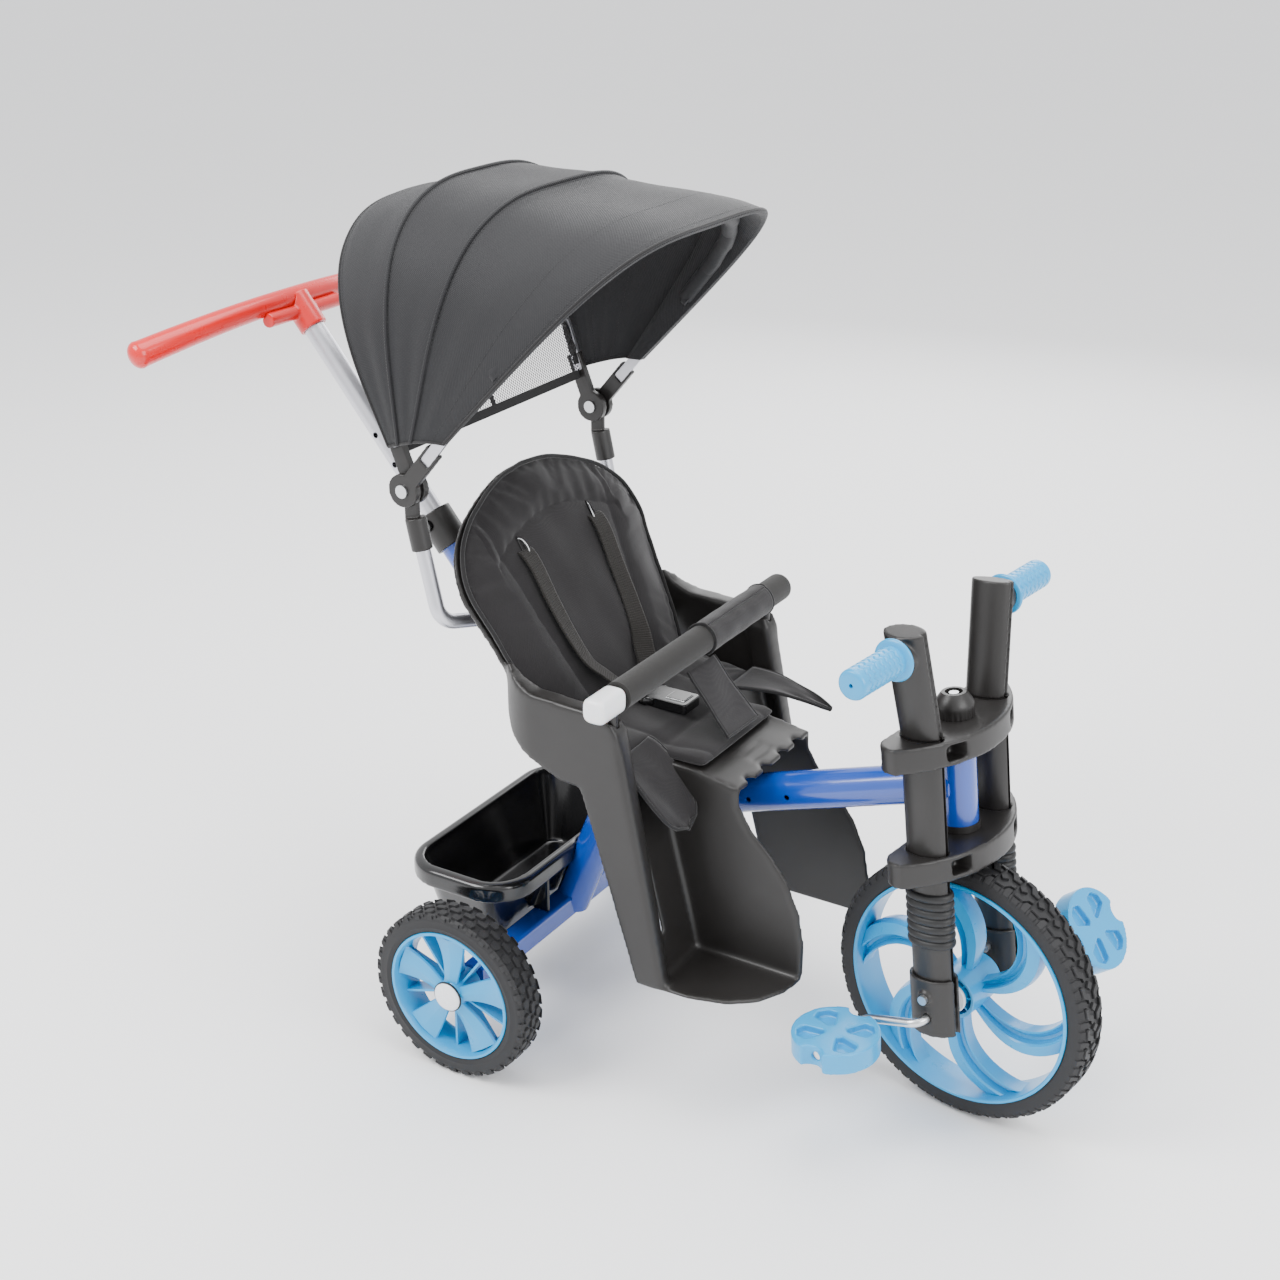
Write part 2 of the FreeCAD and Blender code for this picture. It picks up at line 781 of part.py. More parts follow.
def handle_caps():
    """The end caps of the handle bar."""
    curve = handle_curve()
    solids = []
    for parameter, sign in ((curve.FirstParameter, -1), (curve.LastParameter, 1)):
        end = curve.value(parameter)
        along = Vector(curve.tangent(parameter)[0]) * sign
        ring = rod(end, end + along * (handle_cap_length * 0.3), handle_radius + 1.0)
        dome = rod(end + along * (handle_cap_length * 0.3), end + along * handle_cap_length, handle_radius - 1.0)
        solids.append(fuse_all([ring, dome]))
    return group(solids)


def handle_tee():
    """The sleeve that joins the bar to the tube, with its short cross barrel."""
    sleeve = rod(on_push(barrel_station - 24), on_push(handle_station), push_tube_radius + 4)
    middle = on_push(barrel_station)
    barrel = rod(middle - at(0, barrel_half, 0), middle + at(0, barrel_half, 0), barrel_radius)
    body = fuse_all([sleeve, barrel])
    body = body.cut(rod(on_push(0), on_push(handle_station - handle_radius), push_tube_radius))
    return largest(body.cut(push_handle()))


# ---------------------------------------------------------------- seat
def back_slab(front, rear, inset=0.0):
    """A slab in the back's plane, between two offsets from the pad's face."""
    left = [back_at(along, front, half - inset) for along, half in back_outline]
    right = [back_at(along, front, inset - half) for along, half in reversed(back_outline)]
    crown = Part.BSplineCurve()
    crown.interpolate(left + [back_at(back_top - inset, front, 0)] + right)
    closing = Part.LineSegment(right[-1], left[0])
    face = Part.Face(Part.Wire([crown.toShape(), closing.toShape()]))
    return face.extrude(back_at(0, rear, 0) - back_at(0, front, 0))


arm_outline = ((18, 470), (34, 474), (48, 461), (70, 452), (148, arm_top), (168, 441), (arm_front, 424),
               (174, 396), (163, 371), (150, 358), (106, 360), (56, 382), (36, 397), (24, 418))


def seat_arm(sign):
    """The side wall of the bucket, ending in the arm rest."""
    arm = side_plate(arm_outline, sign * arm_inner, sign * arm_outer)
    arm = arm.common(Part.Face(rounded(12.0, 400.0, arm_outer, 60.0, 300)).extrude(at(0, 0, 300)))
    socket = rod(at(bar_x, sign * peg_spacing, bar_z - 60), at(bar_x, sign * peg_spacing, 500),
                 peg_radius + running_gap)
    return arm.cut(socket)


def rear_wall_x(z):
    """The x of the leg well's rear wall at a height."""
    return 153.0 + 0.2566 * (410.0 - z)


def leg_well(sign):
    """Rear wall, inner wall, outer flange and foot plate of one leg well."""
    top = 372.0
    base = foot_level - well_wall
    rear = side_plate([(rear_wall_x(top), top), (rear_wall_x(base), base), (rear_wall_x(base) - well_wall, base),
                       (rear_wall_x(top) - well_wall, top)], sign * (horn_half - 1), sign * (well_outer - 0.5))
    slot_low, slot_high = 190.0, 272.0
    slot = side_plate([(150, slot_low), (240, slot_low), (240, slot_high), (150, slot_high)],
                      sign * 137, sign * 144)
    rear = rear.cut(slot)
    inner = side_plate(inner_wall_outline, sign * (horn_half - well_wall), sign * horn_half)
    flange = side_plate([(122, 380), (rear_wall_x(382), 382), (rear_wall_x(base), base),
                         (rear_wall_x(base) - 24, base)], sign * (well_outer - well_wall), sign * well_outer)
    return fuse_all([rear, inner, flange, foot_plate(sign)])


inner_wall_outline = ((150, 366), (pan_front[0], pan_front[1] - 2), (266, 335), (283, 307), (303, 288), (325, 260),
                      (341, 225), (348, 186), (foot_front, foot_level - well_wall), (221, foot_level - well_wall),
                      (186, 277))


def foot_plate(sign):
    """The floor of the leg well, rounded at its outer front corner."""
    outline = ((220, horn_half - 2), (220, well_outer - 1), (262, well_outer - 3), (300, well_outer - 14), (326, well_outer - 34),
               (342, well_outer - 65),
               (foot_front, horn_half - 2))
    points = [at(x, sign * y, foot_level - well_wall) for x, y in outline]
    return extrude(points, at(0, 0, well_wall))


def horn():
    """The bridge between the leg wells, with its notched front edge and strap slots."""
    top = [(back_point[0] - 18, 381.0), (120.0, 367.0), (215.0, 362.5), pan_front]
    under = [(x, z - pan_thickness) for x, z in reversed(top)]
    plate = side_plate(top + under, -horn_half, horn_half)
    for y in (-52, -18, 22, 55):
        notch = rod(at(pan_front[0], y, 300), at(pan_front[0], y, 400), 7)
        plate = plate.cut(notch)
    for x in (236, 249):
        plate = plate.cut(block(at(x - 2.5, -22, 320), at(x + 2.5, 22, 400)))
    return plate


def seat_keels():
    """Two ribs under the pan that straddle the main tube and take the cross bolts."""
    outline = ((112, 364), (228, 358), (228, tube_height(228) - 8), (112, tube_height(112) - 6))
    solids = []
    for sign in (-1, 1):
        keel = side_plate(outline, sign * (main_tube_radius + 0.5), sign * (main_tube_radius + 6))
        for x in seat_bolt_x:
            keel = keel.cut(rod(at(x, -40, tube_height(x)), at(x, 40, tube_height(x)), seat_bolt_radius))
        solids.append(keel)
    return solids


seat_bolt_x = (135.0, 205.0)
seat_bolt_radius = 3.0


def seat_shell():
    """The moulded bucket: back, arms, pan, horn and two leg wells."""
    pieces = [back_slab(-pad_thickness, -pad_thickness - shell_thickness)]
    pieces += [pan_plate(), horn()]
    for sign in (-1, 1):
        pieces += [seat_arm(sign), leg_well(sign)]
    pieces += seat_keels()
    shell = fuse_all(pieces)
    return largest(shell)


def pan_plate():
    """The pan between the arms, which stops at the leg wells' rear walls."""
    stop = rear_wall_x(364)
    outline = [(back_point[0] - 18, 381.0), (120.0, 367.0), (stop, 364.8), (stop, 358.8),
               (120.0, 361.0), (back_point[0] - 18, 373.0)]
    return side_plate(outline, -arm_inner - 2, arm_inner + 2)


def seat_pad():
    """The one-piece liner: back, cushion and a flap into each leg well."""
    back = back_slab(0, -pad_thickness + 0.3, 3.0)
    gap = 0.5
    top = 12.0
    outline = [(76, 384), (120, 367.0 + gap), (rear_wall_x(364) - 1, 364.8 + gap), (215, 362.5 + gap),
               (222, 362.2 + gap), (222, 362.2 + top), (120, 367.0 + top + 3), (92, 392)]
    seat = side_plate(outline, -horn_half + 2, horn_half - 2)
    wide = [(76, 384), (120, 367.0 + gap), (rear_wall_x(364) - 1, 364.8 + gap), (rear_wall_x(364) - 1, 364.8 + top),
            (120, 367.0 + top + 3), (92, 392)]
    cushion = side_plate(wide, -arm_inner + 1.5, arm_inner - 1.5)
    pieces = [back, seat, cushion]
    for sign in (-1, 1):
        pieces.append(pad_flap(sign))
    return largest(fuse_all(pieces).cut(seat_shell()))


def pad_flap(sign):
    """The tongue of the liner that hangs down the leg well's rear wall."""
    low = 300.0
    gap = 0.6
    thickness = 5.0
    top = 364.8 + 9
    outline = [(rear_wall_x(364) - 4, 364.8 + 0.6), (rear_wall_x(364) + gap, 364.8 + 0.6), (rear_wall_x(low) + gap, low),
               (rear_wall_x(low) + gap + thickness, low), (rear_wall_x(364) + gap + thickness, 366),
               (rear_wall_x(364) - 4, top)]
    return side_plate(outline, sign * (horn_half + 6), sign * (arm_inner - 6))


def strip(points, half_width, thickness):
    """A flat strap through points in order, lying across y."""
    solids = []
    across = at(0, half_width, 0)
    for first, second in zip(points, points[1:]):
        along = (second - first).normalize()
        normal = along.cross(at(0, 1, 0)).normalize()
        if normal.z < 0:
            normal = normal * -1
        corners = [first - across, second - across, second + across, first + across]
        solids.append(extrude(corners, normal * thickness))
    return fuse_all(solids)


def shoulder_straps():
    """The two harness straps from the back's slots to the buckle."""
    solids = []
    for sign in (-1, 1):
        points = [back_at(198, 1.2, sign * 68), back_at(84, 3.5, sign * 60),
                  at(buckle_centre[0] - 27.5, sign * 13.5, buckle_centre[1] + 3)]
        solids.append(strip(points, 12, 1.6))
    return group(solids)


buckle_centre = (137.0, 392.5)


def harness_buckle():
    """The side-by-side buckle housing with a window for its button."""
    x, z = buckle_centre
    body = block(at(x - 26, -17, z - 6), at(x + 26, 17, z + 6))
    body = body.makeFillet(4, [edge for edge in body.Edges if abs(edge.Length - 12) < 0.1])
    window = block(at(x - 2, -9 - running_gap, z - 2), at(x + 20, 9 + running_gap, z + 7))
    return body.cut(window)


def buckle_button():
    """The button in the middle of the buckle."""
    x, z = buckle_centre
    return block(at(x - 2 + running_gap, -9, z + 1.2), at(x + 20 - running_gap, 9, z + 7.4))


def crotch_strap():
    """The fabric flap that hangs from the safety bar's sleeve to the front of the cushion."""
    points = [at(bar_x + 9, 30, bar_z - foam_radius - 5.5), at(224, 30, 381)]
    return strip(points, 30, 2.0)


def seat_bolts():
    """Cross bolts through the keels and the main tube."""
    solids = []
    for x in seat_bolt_x:
        z = tube_height(x)
        shank = rod(at(x, -main_tube_radius - 6, z), at(x, main_tube_radius + 6, z), seat_bolt_radius)
        head = rod(at(x, -main_tube_radius - 10, z), at(x, -main_tube_radius - 6, z), 6)
        nut = rod(at(x, main_tube_radius + 6, z), at(x, main_tube_radius + 11, z), 5.5)
        solids.append(fuse_all([shank, head, nut]))
    return solids


# ---------------------------------------------------------------- safety bar
def safety_bar():
    """The steel bar with its two pegs."""
    pieces = [rod(at(bar_x, -bar_reach + 3, bar_z), at(bar_x, bar_reach - 10, bar_z), bar_tube_radius)]
    for sign in (-1, 1):
        foot = at(bar_x, sign * peg_spacing, bar_z - peg_length - 6)
        pieces.append(rod(foot, at(bar_x, sign * peg_spacing, bar_z), peg_radius))
    return fuse_all(pieces)


def bar_foam():
    """The foam sleeve over the bar."""
    foam = pipe(at(bar_x, -bar_reach + 47, bar_z), at(bar_x, bar_reach - 10, bar_z), foam_radius, bar_tube_radius)
    for sign in (-1, 1):
        foam = foam.cut(rod(at(bar_x, sign * peg_spacing, bar_z - 30), at(bar_x, sign * peg_spacing, bar_z),
                            peg_radius))
    return foam


def bar_end():
    """The plastic end piece at the open end of the bar."""
    piece = rod(at(bar_x, -bar_reach, bar_z), at(bar_x, -bar_reach + 46, bar_z), 13.5)
    piece = piece.cut(rod(at(bar_x, -bar_reach + 3, bar_z), at(bar_x, -bar_reach + 47, bar_z), bar_tube_radius))
    return piece.cut(rod(at(bar_x, -peg_spacing, bar_z - 30), at(bar_x, -peg_spacing, bar_z), peg_radius))


def bar_cap():
    """The rounded cap at the hinge side of the bar."""
    end = at(bar_x, bar_reach - 10, bar_z)
    cap = rod(end, end + at(0, 10, 0), foam_radius)
    rim = [edge for edge in cap.Edges if edge.BoundBox.YMin > end.y + 9]
    return cap.makeFillet(6, rim)


def bar_sleeve():
    """The fabric sleeve wrapped round the foam."""
    return pipe(at(bar_x, 18, bar_z), at(bar_x, 150, bar_z), foam_radius + 3.0, foam_radius)


# ---------------------------------------------------------------- hood
hub = at(hub_point[0], 0, hub_point[1])
tongue_face = hub_inner_face + disc_thickness + running_gap
outer_disc_face = tongue_face + tongue_thickness + running_gap
hub_pin_radius = 4.0


def arch_profile(half, crown, power, foot, foot_half, steps=9):
    """Points (y, height) of a hood arch: straight legs and a rounded top."""
    side = [(foot_half, foot)]
    rise = crown - spring_line
    for number in range(steps):
        turn = math.pi / 2 * number / (steps - 1)
        y = half * math.cos(turn) ** (2.0 / power)
        z = spring_line + rise * math.sin(turn) ** (2.0 / power)
        side.append((y, z))
    return side + [(-y, z) for y, z in reversed(side[:-1])]


def arch_wire(half, crown, power, thickness, foot, foot_half):
    """The closed outline of an arch band, standing upright over the hub axis."""
    outer = arch_profile(half, crown, power, foot, foot_half)
    inner = arch_profile(half - thickness, crown - thickness, power, foot, foot_half - thickness)
    outline = [hub + at(0, y, z) for y, z in outer]
    outline += [hub + at(0, y, z) for y, z in reversed(inner)]
    return Part.makePolygon(outline + [outline[0]])


def leaned(shape, degrees):
    """Turn a shape about the hub axis; positive leans forward."""
    turned_shape = shape.copy()
    turned_shape.rotate(hub, at(0, 1, 0), degrees)
    return turned_shape


def gore_span(layer):
    """The angles where a gore starts and ends; each overlaps the next by a degree."""
    starts = (rear_bow_deg, rib_degs[0], rib_degs[1])
    ends = (rib_degs[0] + 1.0, rib_degs[1] + 1.0, front_bow_deg + brim_deg)
    return starts[layer], ends[layer]


def crown_height(degrees, layer):
    """The height of a gore's crown over the hub axis; each gore clears the one it folds over."""
    start, end = gore_span(layer)
    first, last = gore_crowns[layer]
    return first + (last - first) * (degrees - start) / (end - start)


def arch_power(degrees):
    """How square the arch is: rounder at the rear, flatter on top at the front."""
    return 2.5 + 0.7 * (degrees - rear_bow_deg) / (front_bow_deg - rear_bow_deg)


def hood_panel(layer, foot):
    """One gore of the hood between two arches, in its own layer."""
    half = gore_halves[layer]
    start, end = gore_span(layer)
    wires = []
    steps = 3
    for number in range(steps + 1):
        degrees = start + (end - start) * number / steps
        crown = crown_height(degrees, layer)
        wire = arch_wire(half, crown, arch_power(degrees), fabric_thickness, foot, half)
        wires.append(leaned(wire, degrees))
    return Part.makeLoft(wires, True, True)


def hood_rear_panel():
    """The rear gore, over the rear bow."""
    return hood_panel(0, fabric_foot)


def hood_middle_panel():
    """The middle gore, between the two ribs; its foot clears the front bow's arms when folded."""
    return hood_panel(1, fabric_foot + 18)


def hood_front_panel():
    """The front gore with its brim, over the front bow."""
    return hood_panel(2, fabric_foot)


def bow(degrees, half, crown, power, foot_half):
    """A flat steel bow standing on two discs of the hubs."""
    wire = arch_wire(half, crown, power, bow_thickness, 44.0, foot_half)
    band = Part.Face(wire).extrude(at(bow_width, 0, 0))
    band.translate(at(-bow_width / 2, 0, 0))
    return leaned(band, degrees)


def rear_bow():
    """The bow that stands on the inner discs."""
    half = gore_halves[0] - fabric_thickness - 0.8
    crown = gore_crowns[0][0] - fabric_thickness - 2.5
    return bow(rear_bow_deg + 3, half, crown, 2.45, hub_inner_face + 6)


def front_bow():
    """The bow that stands on the outer discs."""
    half = gore_halves[2] - fabric_thickness - 0.8
    crown = crown_height(front_bow_deg - 3, 2) - fabric_thickness - 2.5
    return bow(front_bow_deg, half, crown, 3.0, outer_disc_face + 6)


def hub_disc(sign, face, degrees):
    """A disc of the hub with the ferrule that holds a bow's leg."""
    y_from = sign * face
    y_to = sign * (face + disc_thickness)
    disc = rod(at(hub.x, y_from, hub.z), at(hub.x, y_to, hub.z), hub_radius)
    low, high = min(y_from, y_to), max(y_from, y_to)
    ferrule = block(at(hub.x - 9, low, hub.z + 10), at(hub.x + 9, high, hub.z + 64))
    leg = block(at(hub.x - bow_width / 2, low - 1, hub.z + 44), at(hub.x + bow_width / 2, high + 1, hub.z + 70))
    arm = leaned(ferrule.cut(leg), degrees)
    whole = fuse_all([disc, arm])
    return whole.cut(rod(at(hub.x, low - 1, hub.z), at(hub.x, high + 1, hub.z), hub_pin_radius + running_gap))


def rear_discs():
    """The inner discs of both hubs."""
    return group([hub_disc(sign, hub_inner_face, rear_bow_deg + 3) for sign in (-1, 1)])


def front_discs():
    """The outer discs of both hubs."""
    return group([hub_disc(sign, outer_disc_face, front_bow_deg) for sign in (-1, 1)])


def hub_pins():
    """The rivets that both discs turn on."""
    solids = []
    outside = outer_disc_face + disc_thickness
    for sign in (-1, 1):
        shank = rod(at(hub.x, sign * (hub_inner_face - 2), hub.z), at(hub.x, sign * (outside + 2), hub.z),
                    hub_pin_radius)
        head = rod(at(hub.x, sign * (outside + running_gap), hub.z), at(hub.x, sign * (outside + 2.5), hub.z), 7)
        foot = rod(at(hub.x, sign * (hub_inner_face - 2.5), hub.z),
                   at(hub.x, sign * (hub_inner_face - running_gap), hub.z), 7)
        solids.append(fuse_all([shank, head, foot]))
    return group(solids)


support_y = tongue_face + tongue_thickness / 2
support_radius = 8.0
support_lean = 0.22
socket_top = 30.0
socket_foot = 64.0


def support_x(z):
    """The x of the support tube's leg at a height."""
    return hub.x + support_lean * (hub.z - z)


def hub_socket(side):
    """The tongue between the discs, with the sleeve that takes the support tube."""
    sign = 1 if side == "left" else -1
    tongue = rod(at(hub.x, sign * tongue_face, hub.z), at(hub.x, sign * (tongue_face + tongue_thickness), hub.z), 15)
    low = min(sign * tongue_face, sign * (tongue_face + tongue_thickness))
    neck = block(at(hub.x - 5, low, hub.z - socket_top - 4), at(hub.x + 12, low + tongue_thickness, hub.z))
    sleeve = rod(at(support_x(hub.z - socket_top), sign * support_y, hub.z - socket_top),
                 at(support_x(hub.z - socket_foot), sign * support_y, hub.z - socket_foot), support_radius + 3.2)
    body = fuse_all([tongue, neck, sleeve])
    body = body.cut(bent_bar(support_path(), support_bend, support_radius))
    return body.cut(rod(at(hub.x, -300, hub.z), at(hub.x, 300, hub.z), hub_pin_radius))


clamp_y = 45.0
support_bend = 24.0


def support_path():
    """The points of the hood support: down a leg, forward behind the seat back, and up again."""
    top = hub.z - socket_top - 6
    half = [at(support_x(top), support_y, top), at(support_x(508), support_y - 2, 508),
            at(support_cross.x, 62, support_cross.z)]
    return [at(p.x, -p.y, p.z) for p in half] + list(reversed(half))


support_cross = back_at((500 - back_point[1]) / math.cos(math.radians(back_lean_deg)) + 0.0,
                        -pad_thickness - shell_thickness - support_radius - face_gap, 0)


def hood_support():
    """The bent steel tube that carries both hubs."""
    return bent_pipe(support_path(), support_bend, support_radius, 1.5)


def support_clamps():
    """Saddle clips that hold the support tube against the seat back."""
    solids = []
    middle = support_cross
    lean = math.radians(back_lean_deg)
    normal = at(math.cos(lean), 0, math.sin(lean))
    up = at(-math.sin(lean), 0, math.cos(lean))
    face = middle + normal * (support_radius + face_gap)
    for y in (-clamp_y, clamp_y):
        base = face - up * 17 + at(0, y - 9, 0)
        corners = [base, base + up * 34, base + up * 34 - normal * (2 * support_radius + 3.4),
                   base - normal * (2 * support_radius + 3.4)]
        clip = extrude(corners, at(0, 18, 0))
        solids.append(clip.cut(rod(middle - at(0, 70, 0), middle + at(0, 70, 0), support_radius)))
    return group(solids)


def mesh_window():
    """The flat mesh that closes the back of the hood, inside the rear bow."""
    half = gore_halves[0] - fabric_thickness - bow_thickness - 2.5
    crown = gore_crowns[0][0] - fabric_thickness - bow_thickness - 5.0
    arch = arch_profile(half, crown, 2.45, 40.0, hub_inner_face - 2)
    points = [hub + at(0, y, z) for y, z in arch]
    sheet = extrude(points, at(fabric_thickness, 0, 0))
    return leaned(sheet, rear_bow_deg + 3)


# ---------------------------------------------------------------- basket
def tub(top, inset, corner, foot, foot_inset):
    """A tapered tub from a rounded top at one height to a rounded floor at another."""
    upper = rounded(rim_back + inset, rim_front - inset, rim_half - inset, corner, top)
    lower = rounded(floor_back + foot_inset, floor_front - foot_inset, floor_half - foot_inset, 18.0, foot)
    return Part.makeLoft([lower, upper], True, True)


def basket():
    """The open tub with a rolled rim, cut out round the frame's strut."""
    top = rim_top - 6
    corner = rim_corner - rim_roll
    outer = tub(top, rim_roll - basket_wall, corner + basket_wall, basket_floor, 0)
    hollow = tub(top, rim_roll, corner, basket_floor + basket_wall, basket_wall)
    rim_low = rim_top - rim_height
    rim = Part.Face(rounded(rim_back, rim_front, rim_half, rim_corner, rim_low)).extrude(at(0, 0, rim_height))
    rim = rim.makeFillet(7, [edge for edge in rim.Edges if edge.BoundBox.ZMin > rim_top - 1])
    mouth = Part.Face(rounded(rim_back + rim_roll, rim_front - rim_roll, rim_half - rim_roll, corner, top))
    mouth = mouth.extrude(at(0, 0, rim_top))
    body = fuse_all([outer, rim]).cut(mouth).cut(hollow)
    for sign in (-1, 1):
        beam_top = rear_radius + beam_size / 2
        rib = side_plate([(-18, 168), (10, 168), (10, beam_top), (-14, beam_top)], sign * 58, sign * 63)
        body = body.fuse(rib.cut(hollow).cut(mouth))
    strut = bent_bar(main_tube_points, main_tube_bend, main_tube_radius + 1.0)
    return largest(body.cut(strut))


def basket_screws():
    """The screws that hold the basket's ribs to the beam."""
    solids = []
    for y in (-60.5, 60.5):
        for x in (-4, 6):
            solids.append(rod(at(x, y, rear_radius + 6), at(x, y, rear_radius + beam_size / 2), 1.8))
    return solids


# ---------------------------------------------------------------- nodes
def build_nodes():
    """Every node of the object, by name."""
    nodes = {
        "main_frame": main_frame(), "head_tube": head_tube(), "head_bushes": head_bushes(),
        "rear_beam": rear_beam(), "rear_axle": rear_axle(), "push_sleeve": push_sleeve(),
        "tube_collar": tube_collar(), "collar_button": collar_button(), "push_tube": push_tube(),
        "push_handle": push_handle(), "handle_caps": handle_caps(), "handle_tee": handle_tee(),
        "seat_shell": seat_shell(), "seat_pad": seat_pad(),
        "frame_fasteners": group(seat_bolts() + basket_screws()),
        "shoulder_straps": shoulder_straps(), "crotch_strap": crotch_strap(),
        "harness_buckle": harness_buckle(), "buckle_button": buckle_button(),
        "safety_bar": safety_bar(), "bar_foam": bar_foam(), "bar_ends": group([bar_end(), bar_cap()]),
        "bar_sleeve": bar_sleeve(),
        "hood_support": hood_support(), "support_clamps": support_clamps(), "hub_pins": hub_pins(),
        "rear_discs": rear_discs(), "rear_bow": rear_bow(), "hood_rear_panel": hood_rear_panel(),
        "mesh_window": mesh_window(), "hood_middle_panel": hood_middle_panel(),
        "front_discs": front_discs(), "front_bow": front_bow(), "hood_front_panel": hood_front_panel(),
        "basket": basket(),
        "lower_plate": lower_plate(), "upper_plate": upper_plate(), "steering_knob": steering_knob(),
        "steering_stem": steering_stem(), "bracket_screws": bracket_screws(),
        "grips": grips(),
        "fork_bellows": on_fork(group([fork_bellows("left"), fork_bellows("right")])),
        "front_tyre": front_tyre(), "front_rim": front_rim(), "clutch_bushes": clutch_bushes(),
        "crank_rod": crank_rod(),
        "hub_sockets": group([hub_socket("left"), hub_socket("right")]),
        "axle_brackets": on_fork(group([axle_bracket("left"), axle_bracket("right")])),
    }
    for side in ("left", "right"):
        nodes["fork_leg_" + side] = fork_leg(side)
        nodes["grip_post_" + side] = grip_post(side)
        nodes["pedal_" + side] = pedal(side)
        nodes["rear_tyre_" + side] = rear_tyre(side)
        nodes["rear_rim_" + side] = rear_rim(side)
        nodes["rear_cap_" + side] = rear_cap(side)
    return nodes


def export_node(name, shape):
    """Write one node, moved so that the origin is under the middle of the object."""
    moved = shape.copy()
    moved.translate(at(-middle_x, 0, 0))
    moved.exportStep("parts/" + name + ".step")


os.makedirs("parts", exist_ok=True)
all_nodes = build_nodes()
for node_name, node_shape in all_nodes.items():
    export_node(node_name, node_shape)
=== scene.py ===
"""The looks of a children's tricycle: its moulded plastics, tyres, fabrics, webbing and bright metal.

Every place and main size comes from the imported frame: the boxes of its nodes and the axes of its joints.
Lengths are metres. x runs forward, y to the rider's left and z up.
"""
import json
import logging
import math
from dataclasses import dataclass
from enum import Enum
from typing import Any, Callable, Sequence

import bmesh
import bpy
from mathutils import Matrix, Vector
from mathutils.bvhtree import BVHTree

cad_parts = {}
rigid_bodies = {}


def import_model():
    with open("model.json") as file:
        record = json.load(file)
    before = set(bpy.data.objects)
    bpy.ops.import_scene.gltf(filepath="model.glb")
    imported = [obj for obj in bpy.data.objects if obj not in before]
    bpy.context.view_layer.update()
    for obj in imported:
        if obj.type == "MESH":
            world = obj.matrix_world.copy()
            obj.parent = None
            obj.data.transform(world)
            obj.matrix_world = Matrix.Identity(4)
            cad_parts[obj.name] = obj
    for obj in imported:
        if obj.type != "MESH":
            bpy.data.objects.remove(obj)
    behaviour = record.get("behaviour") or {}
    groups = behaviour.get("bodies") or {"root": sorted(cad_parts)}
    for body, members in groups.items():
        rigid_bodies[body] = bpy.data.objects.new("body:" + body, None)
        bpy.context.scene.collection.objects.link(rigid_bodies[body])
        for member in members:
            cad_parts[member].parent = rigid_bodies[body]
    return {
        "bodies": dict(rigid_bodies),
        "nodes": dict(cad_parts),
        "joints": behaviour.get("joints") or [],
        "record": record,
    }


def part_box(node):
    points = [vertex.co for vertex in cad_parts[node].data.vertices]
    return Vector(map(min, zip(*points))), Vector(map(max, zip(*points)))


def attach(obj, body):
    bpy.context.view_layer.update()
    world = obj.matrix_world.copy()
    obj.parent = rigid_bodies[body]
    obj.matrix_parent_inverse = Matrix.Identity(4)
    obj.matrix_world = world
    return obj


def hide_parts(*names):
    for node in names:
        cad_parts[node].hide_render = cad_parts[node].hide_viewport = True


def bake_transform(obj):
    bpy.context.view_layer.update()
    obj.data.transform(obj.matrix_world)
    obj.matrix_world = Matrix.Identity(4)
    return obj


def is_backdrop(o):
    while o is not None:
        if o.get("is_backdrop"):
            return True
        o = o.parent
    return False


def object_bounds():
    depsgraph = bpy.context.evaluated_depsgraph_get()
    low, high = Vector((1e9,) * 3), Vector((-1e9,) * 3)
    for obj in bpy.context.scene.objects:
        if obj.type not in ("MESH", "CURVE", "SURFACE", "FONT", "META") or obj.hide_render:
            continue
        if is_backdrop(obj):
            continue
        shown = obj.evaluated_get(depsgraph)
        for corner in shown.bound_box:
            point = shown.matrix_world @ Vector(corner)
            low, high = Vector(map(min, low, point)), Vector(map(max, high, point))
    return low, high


log = logging.getLogger("tricycle")
MM = 0.001
UP = Vector((0.0, 0.0, 1.0))
ACROSS = Vector((0.0, 1.0, 0.0))
Colour = tuple[float, float, float]
Path = Sequence[Vector]


